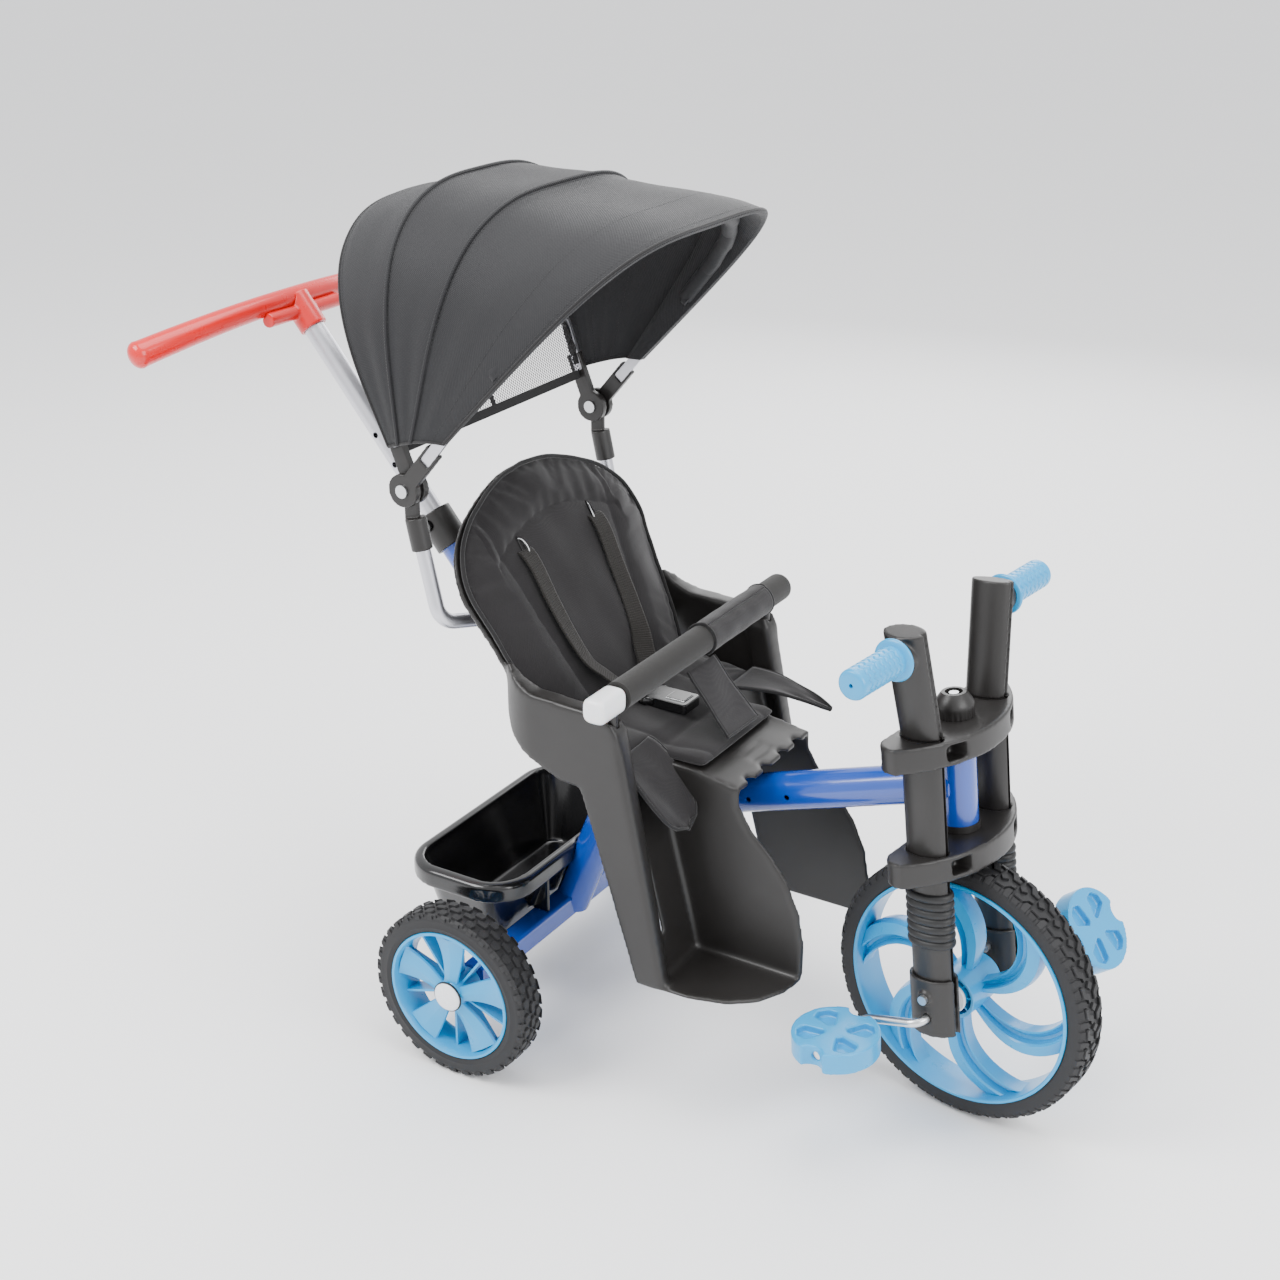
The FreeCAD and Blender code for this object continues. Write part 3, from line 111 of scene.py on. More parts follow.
# ------------------------------------------------------------------ shader maths
class Signal:
    """A shader socket that can be used in sums."""

    def __init__(self, tree: bpy.types.NodeTree, socket: bpy.types.NodeSocket) -> None:
        """Keep the socket and the tree it belongs to."""
        self.tree = tree
        self.socket = socket

    def _maths(self, operation: str, *others: "Signal | float", swap: bool = False) -> "Signal":
        """Add a Math node.

        Args:
            operation: the node's operation.
            others: further inputs, sockets or numbers.
            swap: whether this signal is the second input.

        Returns:
            The node's result.
        """
        node = self.tree.nodes.new("ShaderNodeMath")
        node.operation = operation
        values = [self, *others]
        if swap:
            values = [others[0], self]
        for place, value in enumerate(values):
            if isinstance(value, Signal):
                self.tree.links.new(value.socket, node.inputs[place])
            else:
                node.inputs[place].default_value = value
        return Signal(self.tree, node.outputs[0])

    def __add__(self, other: "Signal | float") -> "Signal":
        """Sum."""
        return self._maths("ADD", other)

    def __radd__(self, other: float) -> "Signal":
        """Sum with a number first."""
        return self._maths("ADD", other)

    def __sub__(self, other: "Signal | float") -> "Signal":
        """Difference."""
        return self._maths("SUBTRACT", other)

    def __rsub__(self, other: float) -> "Signal":
        """Difference from a number."""
        return self._maths("SUBTRACT", other, swap=True)

    def __mul__(self, other: "Signal | float") -> "Signal":
        """Product."""
        return self._maths("MULTIPLY", other)

    def __rmul__(self, other: float) -> "Signal":
        """Product with a number first."""
        return self._maths("MULTIPLY", other)

    def sine(self) -> "Signal":
        """Sine of the signal."""
        return self._maths("SINE")

    def size(self) -> "Signal":
        """Absolute value."""
        return self._maths("ABSOLUTE")

    def above(self, limit: float) -> "Signal":
        """1 where the signal is over a limit, else 0."""
        return self._maths("GREATER_THAN", limit)


class Tree:
    """The node tree of one material, with its Principled shader."""

    def __init__(self, name: str) -> None:
        """Make the material and clear its tree."""
        self.material = bpy.data.materials.new(name)
        self.material.use_nodes = True
        self.tree = self.material.node_tree
        self.tree.nodes.clear()
        self.output = self.tree.nodes.new("ShaderNodeOutputMaterial")
        self.shader = self.tree.nodes.new("ShaderNodeBsdfPrincipled")
        self.tree.links.new(self.shader.outputs[0], self.output.inputs[0])

    def node(self, kind: str, settings: dict[str, Any] | None = None,
             inputs: dict[str, Any] | None = None) -> bpy.types.Node:
        """Add any node.

        Args:
            kind: the node's type.
            settings: properties to set first.
            inputs: a value, a signal or a socket for each named input.

        Returns:
            The node.
        """
        made = self.tree.nodes.new(kind)
        for name, value in (settings or {}).items():
            setattr(made, name, value)
        for name, value in (inputs or {}).items():
            self.feed(made.inputs[name], value)
        return made

    def feed(self, socket: bpy.types.NodeSocket, value: Any) -> None:
        """Set or link one socket."""
        if isinstance(value, Signal):
            self.tree.links.new(value.socket, socket)
        elif isinstance(value, bpy.types.NodeSocket):
            self.tree.links.new(value, socket)
        else:
            socket.default_value = value

    def signal(self, node: bpy.types.Node, output: str | int = 0) -> Signal:
        """One output of a node as a signal."""
        return Signal(self.tree, node.outputs[output])

    def place(self) -> bpy.types.NodeSocket:
        """Object coordinates."""
        return self.node("ShaderNodeTexCoord").outputs["Object"]

    def cloth_map(self) -> tuple[Signal, Signal]:
        """The two directions of a piece's own map, in metres."""
        uv = self.node("ShaderNodeUVMap", {"uv_map": "cloth"})
        parts = self.node("ShaderNodeSeparateXYZ", inputs={0: uv.outputs[0]})
        return self.signal(parts, 0), self.signal(parts, 1)

    def noise(self, scale: float, detail: float = 2.0, rough: float = 0.5) -> Signal:
        """Fractal noise over object space."""
        made = self.node("ShaderNodeTexNoise", inputs={"Vector": self.place(), "Scale": scale,
                                                        "Detail": detail, "Roughness": rough})
        return self.signal(made, 0)

    def blend(self, factor: Signal, first: Colour, second: Colour) -> bpy.types.NodeSocket:
        """A colour that runs from one to another."""
        mix = self.node("ShaderNodeMix", {"data_type": "RGBA"})
        self.feed(mix.inputs[0], factor)
        mix.inputs[6].default_value = (*first, 1.0)
        mix.inputs[7].default_value = (*second, 1.0)
        return mix.outputs[2]

    def bump(self, height: Signal, distance: float, strength: float = 1.0) -> None:
        """Feed a height to the shader's normal."""
        made = self.node("ShaderNodeBump", inputs={"Height": height, "Distance": distance, "Strength": strength})
        self.tree.links.new(made.outputs[0], self.shader.inputs["Normal"])

    def set(self, **values: Any) -> None:
        """Set or link the shader's sockets; underscores stand for spaces."""
        for name, value in values.items():
            self.feed(self.shader.inputs[name.replace("_", " ")], value)


def darker(colour: Colour, share: float) -> Colour:
    """A colour times a share."""
    return tuple(part * share for part in colour)


# ------------------------------------------------------------------ finishes
@dataclass(frozen=True)
class Moulding:
    """An injection-moulded plastic."""

    name: str
    colour: Colour
    roughness: float = 0.42
    grain: float = 0.00006
    coat: float = 0.0
    scatter: float = 0.0

    def material(self) -> bpy.types.Material:
        """Fine sparked grain, faint flow marks and handling gloss."""
        tree = Tree(self.name)
        flow = tree.noise(9.0, 3.0)
        fine = tree.noise(2600.0, 1.0)
        rubbed = tree.noise(35.0, 4.0, 0.6)
        tree.set(Base_Color=tree.blend(flow, darker(self.colour, 0.9), darker(self.colour, 1.08)),
                 Roughness=rubbed * 0.16 + (self.roughness - 0.08),
                 Coat_Weight=self.coat, Coat_Roughness=0.12, IOR=1.49,
                 Subsurface_Weight=self.scatter, Subsurface_Scale=0.004)
        tree.bump(fine, self.grain)
        return tree.material


@dataclass(frozen=True)
class Paint:
    """Powder coat over steel."""

    name: str
    colour: Colour

    def material(self) -> bpy.types.Material:
        """A clear gloss with a slight orange peel."""
        tree = Tree(self.name)
        peel = tree.noise(420.0, 2.0)
        cloud = tree.noise(14.0, 2.0)
        tree.set(Base_Color=tree.blend(cloud, darker(self.colour, 0.92), darker(self.colour, 1.08)),
                 Roughness=cloud * 0.08 + 0.2, Coat_Weight=0.7, Coat_Roughness=0.05, Specular_IOR_Level=0.6)
        tree.bump(peel, 0.00004)
        return tree.material


@dataclass(frozen=True)
class BareMetal:
    """Drawn or plated metal, with lines along one direction."""

    name: str
    colour: Colour
    roughness: float
    draw: Colour = (1.0, 1.0, 1.0)

    def material(self) -> bpy.types.Material:
        """Lines of drawing, plus a soft mottle in the roughness."""
        tree = Tree(self.name)
        stretch = tree.node("ShaderNodeMapping", inputs={"Vector": tree.place(), "Scale": self.draw})
        lines = tree.node("ShaderNodeTexNoise", inputs={"Vector": stretch.outputs[0], "Scale": 900.0, "Detail": 2.0})
        drawn = tree.signal(lines)
        mottle = tree.noise(60.0, 3.0)
        tree.set(Base_Color=tree.blend(mottle, darker(self.colour, 0.95), self.colour), Metallic=1.0,
                 Roughness=drawn * 0.06 + mottle * 0.06 + (self.roughness - 0.06))
        tree.bump(drawn, 0.000003)
        return tree.material


@dataclass(frozen=True)
class Rubber:
    """Solid tyre or soft rubber."""

    name: str
    colour: Colour
    roughness: float = 0.62

    def material(self) -> bpy.types.Material:
        """Matt, a little dusty in patches."""
        tree = Tree(self.name)
        dust = tree.noise(28.0, 4.0, 0.65)
        skin = tree.noise(1500.0, 2.0)
        tree.set(Base_Color=tree.blend(dust, self.colour, tuple(part * 1.45 + 0.006 for part in self.colour)),
                 Roughness=dust * 0.2 + (self.roughness - 0.1), Specular_IOR_Level=0.35)
        tree.bump(skin, 0.00008)
        return tree.material


@dataclass(frozen=True)
class Foam:
    """Closed-cell foam sleeve."""

    name: str
    colour: Colour

    def material(self) -> bpy.types.Material:
        """A surface of fine open cells, with painted shade darkening each cell's pit."""
        tree = Tree(self.name)
        cells = tree.node("ShaderNodeTexVoronoi", inputs={"Vector": tree.place(), "Scale": 1100.0})
        pit_depth_and_shade = tree.signal(cells)
        # The colour is darker where the cells' pits sink in: painted shade in the hollows.
        tree.set(Base_Color=tree.blend(pit_depth_and_shade, darker(self.colour, 0.7), darker(self.colour, 1.3)),
                 Roughness=0.9, Specular_IOR_Level=0.25, Sheen_Weight=0.15, Sheen_Roughness=0.5)
        tree.bump(pit_depth_and_shade + tree.noise(80.0, 3.0), 0.0002)
        return tree.material


class Weave(Enum):
    """How a cloth is woven: threads to the metre and how deep they stand."""

    FINE = (1150.0, 0.00010)
    COARSE = (620.0, 0.00022)
    RIBBED = (360.0, 0.00035)


@dataclass(frozen=True)
class Cloth:
    """Woven polyester, on a piece's own map or on object space."""

    name: str
    colour: Colour
    weave: Weave
    mapped: bool = True
    sheen: float = 0.25
    roughness: float = 0.85

    def material(self) -> bpy.types.Material:
        """Warp over weft, with slubs, a nap and faint fading; the hollows between threads carry painted shade."""
        tree = Tree(self.name)
        threads, depth = self.weave.value
        if self.mapped:
            along, over = tree.cloth_map()
        else:
            parts = tree.node("ShaderNodeSeparateXYZ", inputs={0: tree.place()})
            along = tree.signal(parts, 0) + tree.signal(parts, 2)
            over = tree.signal(parts, 1)
        # woven is the height of the threads; it is also painted into the colour below, as shade between them.
        if self.weave is Weave.RIBBED:
            woven = (over * (threads * math.pi)).sine().size() + (along * (threads * 3.0)).sine().size() * 0.2
        else:
            warp = (along * (threads * math.pi)).sine()
            weft = (over * (threads * math.pi)).sine()
            woven = (warp * weft) * 0.5 + 0.5
        slub = tree.noise(240.0, 3.0, 0.6)
        fade = tree.noise(11.0, 3.0, 0.55)
        # The weave's share darkens the hollows between threads and lightens their tops (painted shade); slubs and
        # fading are tone that differs at random.
        weave_shade_and_tone = woven * 0.35 + slub * 0.35 + fade * 0.3
        tree.set(Base_Color=tree.blend(weave_shade_and_tone, darker(self.colour, 0.72), darker(self.colour, 1.35)),
                 Roughness=slub * 0.14 + (self.roughness - 0.07), Sheen_Weight=self.sheen, Sheen_Roughness=0.45,
                 Specular_IOR_Level=0.3)
        tree.bump(woven * 0.7 + slub * 0.6, depth * 2.0)
        return tree.material


@dataclass(frozen=True)
class Net:
    """Knitted mesh with open holes."""

    name: str
    colour: Colour
    pitch: float = 4.4 * MM

    def material(self) -> bpy.types.Material:
        """Round holes in a diagonal grid, cut by alpha."""
        tree = Tree(self.name)
        along, over = tree.cloth_map()
        turn = math.pi / self.pitch
        lattice = ((along + over) * turn).sine() * ((along - over) * turn).sine()
        cord = 1.0 - lattice.size().above(0.30)
        fibres = tree.noise(1400.0, 2.0)
        tree.set(Base_Color=tree.blend(fibres, darker(self.colour, 0.7), darker(self.colour, 1.4)),
                 Roughness=0.75, Alpha=cord, Sheen_Weight=0.2)
        tree.bump(fibres, 0.0001)
        return tree.material


CYAN: Colour = (0.004, 0.300, 0.620)
CHARCOAL: Colour = (0.0125, 0.0112, 0.0120)


class Finishes:
    """Every finish on the tricycle, made once and looked up by the record's slot."""

    def __init__(self) -> None:
        """Make all materials."""
        makers = {
            "black_plastic": Moulding("BlackMoulding", (0.0115, 0.0104, 0.0098), 0.40, 0.00004),
            "cyan_plastic": Moulding("CyanMoulding", CYAN, 0.3, 0.00001, 0.2, 0.03),
            "blue_paint": Paint("BluePowderCoat", (0.0006, 0.052, 0.36)),
            "red_plastic": Moulding("RedMoulding", (0.62, 0.004, 0.004), 0.28, 0.00001, 0.3, 0.0),
            "silver_tube": BareMetal("DrawnTube", (0.60, 0.60, 0.64), 0.36, (0.1, 1.0, 0.1)),
            "zinc_steel": BareMetal("ZincPlate", (0.66, 0.67, 0.68), 0.3),
            "tyre_rubber": Rubber("TyreRubber", (0.0085, 0.0085, 0.0095), 0.58),
            "black_rubber": Rubber("BellowsRubber", (0.009, 0.009, 0.0095), 0.46),
            "foam": Foam("SleeveFoam", (0.0165, 0.0155, 0.0145)),
            "pad_fabric": Cloth("LinerCloth", CHARCOAL, Weave.FINE, mapped=False),
            "hood_fabric": Cloth("HoodCloth", (0.0105, 0.0105, 0.0120), Weave.COARSE, sheen=0.08, roughness=0.62),
            "mesh_fabric": Net("WindowNet", (0.008, 0.008, 0.009)),
            "webbing": Cloth("StrapWebbing", (0.0165, 0.0148, 0.0132), Weave.RIBBED, sheen=0.15),
            "white_plastic": Moulding("WhiteMoulding", (0.82, 0.83, 0.85), 0.26, 0.00002, 0.3, 0.1),
            "black_gloss": Moulding("GlossBlack", (0.0045, 0.0045, 0.005), 0.2, 0.000005, 0.25),
        }
        self.by_slot = {slot: maker.material() for slot, maker in makers.items()}
        self.binding = Cloth("BoundEdge", (0.0085, 0.008, 0.0085), Weave.FINE, mapped=False).material()
        self.thread = Moulding("SewingThread", (0.018, 0.018, 0.019), 0.6).material()

    def dress(self, obj: bpy.types.Object, slot: str) -> None:
        """Give a piece the material of a slot."""
        obj.data.materials.clear()
        obj.data.materials.append(self.by_slot[slot])


# ------------------------------------------------------------------ mesh helpers
@dataclass(frozen=True)
class Bench:
    """A local frame that a sub-assembly is laid out on."""

    origin: Vector
    forward: Vector
    across: Vector
    up: Vector

    def at(self, x: float, y: float, z: float) -> Vector:
        """A point given in this frame."""
        return self.origin + self.forward * x + self.across * y + self.up * z

    def matrix(self) -> Matrix:
        """The frame as a matrix."""
        turn = Matrix((self.forward, self.across, self.up)).transposed()
        return Matrix.Translation(self.origin) @ turn.to_4x4()


def bench(origin: Vector, across: Vector, up: Vector) -> Bench:
    """A right-handed frame from its y and a vector near its z."""
    side = across.normalized()
    ahead = side.cross(up).normalized()
    return Bench(origin, ahead, side, ahead.cross(side))


class Draft:
    """Vertices and faces gathered before they become a piece."""

    def __init__(self) -> None:
        """Start empty."""
        self.points: list[Vector] = []
        self.faces: list[tuple[int, ...]] = []
        self.map: list[tuple[float, float]] = []

    def loft(self, rings: Sequence[Path], closed: bool = True, caps: bool = True, looped: bool = False) -> "Draft":
        """Join rings of equal count with quads.

        Args:
            rings: the sections in order.
            closed: whether each ring closes on itself.
            caps: whether the first and last rings are filled.
            looped: whether the last ring joins the first.

        Returns:
            This draft.
        """
        base = len(self.points)
        count = len(rings[0])
        for ring in rings:
            self.points.extend(ring)
        last = count if closed else count - 1
        spans = len(rings) if looped else len(rings) - 1
        for row in range(spans):
            low = base + row * count
            high = base + (row + 1) % len(rings) * count
            for column in range(last):
                following = (column + 1) % count
                self.faces.append((low + column, low + following, high + following, high + column))
        if caps and closed and not looped:
            self.faces.append(tuple(base + n for n in reversed(range(count))))
            self.faces.append(tuple(base + (len(rings) - 1) * count + n for n in range(count)))
        return self

    def tube(self, path: Path, radius: float | Callable[[float], float], sides: int = 12,
             looped: bool = False) -> "Draft":
        """Sweep a round section along a path."""
        return self.loft(sections(path, lambda share: circle(radius(share) if callable(radius) else radius, sides),
                                  looped), caps=not looped, looped=looped)

    def piece(self, name: str, smooth: bool = True, recalculate: bool = True) -> bpy.types.Object:
        """Turn the draft into an object."""
        mesh = bpy.data.meshes.new(name)
        mesh.from_pydata([tuple(point) for point in self.points], [], self.faces)
        if recalculate:
            tidy_normals(mesh)
        obj = bpy.data.objects.new(name, mesh)
        bpy.context.scene.collection.objects.link(obj)
        if smooth:
            shade(obj, 40.0)
        return obj


def tidy_normals(mesh: bpy.types.Mesh, merge: float = 0.00001) -> None:
    """Merge doubles and point the faces outwards."""
    work = bmesh.new()
    work.from_mesh(mesh)
    bmesh.ops.remove_doubles(work, verts=work.verts, dist=merge)
    bmesh.ops.recalc_face_normals(work, faces=work.faces)
    work.to_mesh(mesh)
    work.free()


def shade(obj: bpy.types.Object, angle: float) -> None:
    """Smooth shading that breaks at edges sharper than an angle."""
    mesh = obj.data
    mesh.polygons.foreach_set("use_smooth", [True] * len(mesh.polygons))
    mesh.set_sharp_from_angle(angle=math.radians(angle))


def circle(radius: float, sides: int) -> list[tuple[float, float]]:
    """Points of a circle in a plane."""
    return [(radius * math.cos(math.tau * n / sides), radius * math.sin(math.tau * n / sides)) for n in range(sides)]


def sections(path: Path, outline: Callable[[float], Sequence[tuple[float, float]]], looped: bool = False,
             side: Vector | None = None) -> list[list[Vector]]:
    """Place an outline square to a path at each of its points.

    Args:
        path: the centre line.
        outline: the section at a share of the path, as (out, over) pairs.
        looped: whether the path closes on itself.
        side: a fixed direction for the section's first axis; without it the frame is carried along.

    Returns:
        One ring for each point.
    """
    rings = []
    carried = None
    count = len(path)
    for number, point in enumerate(path):
        before = path[number - 1] if number or looped else path[0]
        after = path[(number + 1) % count] if number < count - 1 or looped else path[-1]
        along = (after - before).normalized()
        if side is not None:
            first = (side - along * side.dot(along)).normalized()
        elif carried is None:
            seed = UP if abs(along.z) < 0.9 else ACROSS
            first = (seed - along * seed.dot(along)).normalized()
        else:
            first = (carried - along * carried.dot(along)).normalized()
        carried = first
        second = along.cross(first)
        share = number / max(1, count - 1)
        rings.append([point + first * a + second * b for a, b in outline(share)])
    return rings


def curve_through(points: Path, steps: int) -> list[Vector]:
    """A smooth line through points, as a Catmull-Rom curve."""
    padded = [points[0] * 2 - points[1], *points, points[-1] * 2 - points[-2]]
    line = []
    for a, b, c, d in zip(padded, padded[1:], padded[2:], padded[3:]):
        for number in range(steps):
            t = number / steps
            line.append(0.5 * ((b * 2) + (c - a) * t + (a * 2 - b * 5 + c * 4 - d) * t * t
                               + (b * 3 - a - c * 3 + d) * t ** 3))
    line.append(Vector(points[-1]))
    return line


def lathe(draft: Draft, profile: Sequence[tuple[float, float]], place: Bench, steps: int,
          swell: Callable[[float, int], float] | None = None) -> Draft:
    """Turn a closed (radius, offset) profile about a frame's y axis.

    Args:
        draft: what the rings are added to.
        profile: the closed outline.
        place: the frame of the axle.
        steps: how many rings.
        swell: an extra radius for an angle and a profile point.

    Returns:
        The draft.
    """
    rings = []
    for number in range(steps):
        angle = math.tau * number / steps
        ring = []
        for index, (radius, offset) in enumerate(profile):
            extra = swell(angle, index) if swell else 0.0
            ring.append(place.at((radius + extra) * math.cos(angle), offset, (radius + extra) * math.sin(angle)))
        rings.append(ring)
    return draft.loft(rings, closed=True, caps=False, looped=True)


def joined_copy(name: str, nodes: Sequence[bpy.types.Object]) -> bpy.types.Object:
    """One new object from copies of nodes' meshes, with their doubles merged."""
    work = bmesh.new()
    for node in nodes:
        work.from_mesh(node.data)
    bmesh.ops.remove_doubles(work, verts=work.verts, dist=0.00002)
    mesh = bpy.data.meshes.new(name)
    work.to_mesh(mesh)
    work.free()
    obj = bpy.data.objects.new(name, mesh)
    bpy.context.scene.collection.objects.link(obj)
    return obj


def settle(obj: bpy.types.Object) -> None:
    """Bake an object's modifiers into its mesh."""
    bpy.context.view_layer.update()
    graph = bpy.context.evaluated_depsgraph_get()
    baked = bpy.data.meshes.new_from_object(obj.evaluated_get(graph), preserve_all_data_layers=True, depsgraph=graph)
    old = obj.data
    obj.modifiers.clear()
    obj.data = baked
    bpy.data.meshes.remove(old)


def moulded(name: str, nodes: Sequence[bpy.types.Object], voxel: float, rounds: int,
            keep: float = 1.0, extra: Sequence[bpy.types.Object] = ()) -> bpy.types.Object:
    """A moulding with rounded edges, made over copies of plain nodes.

    Args:
        name: the new piece's name.
        nodes: the nodes that it stands for.
        voxel: size of its cells.
        rounds: how many passes soften its edges.
        keep: share of its faces that are kept.
        extra: further solids that are moulded in; they are removed.

    Returns:
        The piece.
    """
    obj = joined_copy(name, [*nodes, *extra])
    for solid in extra:
        bpy.data.objects.remove(solid)
    remesh = obj.modifiers.new("cells", "REMESH")
    remesh.mode = "VOXEL"
    remesh.voxel_size = voxel
    soften = obj.modifiers.new("soften", "SMOOTH")
    soften.factor = 0.5
    soften.iterations = rounds
    if keep < 1.0:
        thin = obj.modifiers.new("thin", "DECIMATE")
        thin.ratio = keep
    settle(obj)
    obj.data.polygons.foreach_set("use_smooth", [True] * len(obj.data.polygons))
    return obj


# ------------------------------------------------------------------ repeats by Geometry Nodes
class RepeatTree:
    """A Geometry Nodes tree with named inputs, run once on a carrier and taken off again."""

    def __init__(self, name: str, inputs: dict[str, tuple[str, Any]]) -> None:
        """Make the group and its sockets.

        Args:
            name: the tree's name.
            inputs: socket type and value by input name.
        """
        self.group = bpy.data.node_groups.new(name, "GeometryNodeTree")
        self.values = {}
        face = self.group.interface
        face.new_socket("Geometry", in_out="INPUT", socket_type="NodeSocketGeometry")
        for label, (kind, value) in inputs.items():
            socket = face.new_socket(label, in_out="INPUT", socket_type=kind)
            self.values[socket.identifier] = value
        face.new_socket("Geometry", in_out="OUTPUT", socket_type="NodeSocketGeometry")
        self.entry = self.group.nodes.new("NodeGroupInput")
        self.exit = self.group.nodes.new("NodeGroupOutput")

    def node(self, kind: str, settings: dict[str, Any] | None = None,
             inputs: dict[int | str, Any] | None = None) -> bpy.types.Node:
        """Add a node, set its properties, then its sockets."""
        made = self.group.nodes.new(kind)
        for name, value in (settings or {}).items():
            setattr(made, name, value)
        for name, value in (inputs or {}).items():
            if isinstance(value, bpy.types.NodeSocket):
                self.group.links.new(value, made.inputs[name])
            else:
                made.inputs[name].default_value = value
        return made

    def run(self, shape: bpy.types.NodeSocket, name: str, carrier: bpy.types.Object) -> bpy.types.Object:
        """End the tree, evaluate it on a carrier and return the plain result."""
        real = self.node("GeometryNodeRealizeInstances", inputs={0: shape})
        dressed = self.node("GeometryNodeSetMaterial", inputs={0: real.outputs[0], "Material": self.material()})
        self.group.links.new(dressed.outputs[0], self.exit.inputs[0])
        carrier.name = name
        carrier.data.name = name
        modifier = carrier.modifiers.new("repeat", "NODES")
        modifier.node_group = self.group
        for identifier, value in self.values.items():
            modifier[identifier] = value
        settle(carrier)
        return carrier

    def material(self) -> bpy.types.NodeSocket:
        """The socket of the material input."""
        return self.entry.outputs["Material"]


def ring_of(name: str, part: bpy.types.Object, count: int, place: Bench,
            material: bpy.types.Material) -> bpy.types.Object:
    """Copies of a part evenly round a frame's y axis.

    Args:
        name: the new piece's name.
        part: one part, laid out on the frame's own axes with its axle along y; it is removed.
        count: how many.
        place: the frame of the axle.
        material: what they are made of.

    Returns:
        The piece.
    """
    tree = RepeatTree(name + "_ring", {"Part": ("NodeSocketObject", part), "Count": ("NodeSocketInt", count),
                                       "Step": ("NodeSocketFloat", math.tau / count),
                                       "Material": ("NodeSocketMaterial", material)})
    info = tree.node("GeometryNodeObjectInfo", {"transform_space": "ORIGINAL"}, {"Object": tree.entry.outputs["Part"]})
    spots = tree.node("GeometryNodePoints", inputs={"Count": tree.entry.outputs["Count"]})
    index = tree.node("GeometryNodeInputIndex")
    angle = tree.node("ShaderNodeMath", {"operation": "MULTIPLY"},
                      {0: index.outputs[0], 1: tree.entry.outputs["Step"]})
    turn = tree.node("ShaderNodeCombineXYZ", inputs={"Y": angle.outputs[0]})
    copies = tree.node("GeometryNodeInstanceOnPoints", inputs={
        "Points": spots.outputs[0], "Instance": info.outputs["Geometry"], "Rotation": turn.outputs[0]})
    carrier = Draft().piece(name, smooth=False, recalculate=False)
    made = tree.run(copies.outputs[0], name, carrier)
    made.data.transform(place.matrix())
    bpy.data.objects.remove(part)
    return made


def stitches(name: str, paths: Sequence[Path], length: float, gap: float, thick: float,
             material: bpy.types.Material) -> bpy.types.Object:
    """A row of thread stitches along lines that lie on cloth.

    Args:
        name: the new piece's name.
        paths: the lines that the needle follows.
        length: how long a stitch is.
        gap: the gap between stitches.
        thick: the thread's radius.
        material: the thread.

    Returns:
        The piece.
    """
    stitch = Draft().loft([[Vector((a, b, z)) for a, b in circle(r, 5)] for r, z in
                           ((thick * 0.5, -length / 2), (thick, -length * 0.3), (thick, length * 0.3),
                            (thick * 0.5, length / 2))]).piece(name + "_one")
    mesh = bpy.data.meshes.new(name)
    points: list[tuple[float, float, float]] = []
    edges: list[tuple[int, int]] = []
    for path in paths:
        base = len(points)
        points += [tuple(point) for point in path]
        edges += [(base + n, base + n + 1) for n in range(len(path) - 1)]
    mesh.from_pydata(points, edges, [])
    carrier = bpy.data.objects.new(name, mesh)
    bpy.context.scene.collection.objects.link(carrier)
    tree = RepeatTree(name + "_row", {"Stitch": ("NodeSocketObject", stitch),
                                      "Pitch": ("NodeSocketFloat", length + gap),
                                      "Material": ("NodeSocketMaterial", material)})
    info = tree.node("GeometryNodeObjectInfo", {"transform_space": "ORIGINAL"},
                     {"Object": tree.entry.outputs["Stitch"]})
    line = tree.node("GeometryNodeMeshToCurve", inputs={0: tree.entry.outputs["Geometry"]})
    spots = tree.node("GeometryNodeCurveToPoints", {"mode": "LENGTH"},
                      {"Curve": line.outputs[0], "Length": tree.entry.outputs["Pitch"]})
    copies = tree.node("GeometryNodeInstanceOnPoints", inputs={
        "Points": spots.outputs["Points"], "Instance": info.outputs["Geometry"],
        "Rotation": spots.outputs["Rotation"]})
    made = tree.run(copies.outputs[0], name, carrier)
    bpy.data.objects.remove(stitch)
    shade(made, 60.0)
    return made


# ------------------------------------------------------------------ what every sub-assembly shares
class Shop:
    """The loaded frame, the finishes and the way a new piece joins a body."""

    def __init__(self) -> None:
        """Load the frame and make the finishes."""
        self.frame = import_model()
        self.cad_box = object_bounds()
        self.finishes = Finishes()
        self.joints = {joint["name"]: joint for joint in self.frame["joints"]}
        self.nodes = self.frame["nodes"]
        self.count = 0

    def pivot(self, joint: str) -> Vector:
        """A point on a joint's axis."""
        return Vector(self.joints[joint]["pos_m"])

    def axis(self, joint: str) -> Vector:
        """The direction of a joint's axis."""
        return Vector(self.joints[joint]["axis"])

    def fit(self, obj: bpy.types.Object, body: str | None, slot: str, *nodes: str,
            own: bool = False) -> bpy.types.Object:
        """Dress a piece, fasten it to a body and let it stand for nodes.

        Args:
            obj: the piece.
            body: the body that it moves with, or None for a piece that is left unattached.
            slot: the finish it takes.
            nodes: the nodes that it replaces.
            own: whether it keeps the material that it already has.

        Returns:
            The piece.
        """
        if own:
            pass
        else:
            self.finishes.dress(obj, slot)
        if body:
            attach(obj, body)
        if nodes:
            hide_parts(*nodes)
        self.count += 1
        log.info("%-28s %7d faces on %s", obj.name, len(obj.data.polygons), body)
        return obj


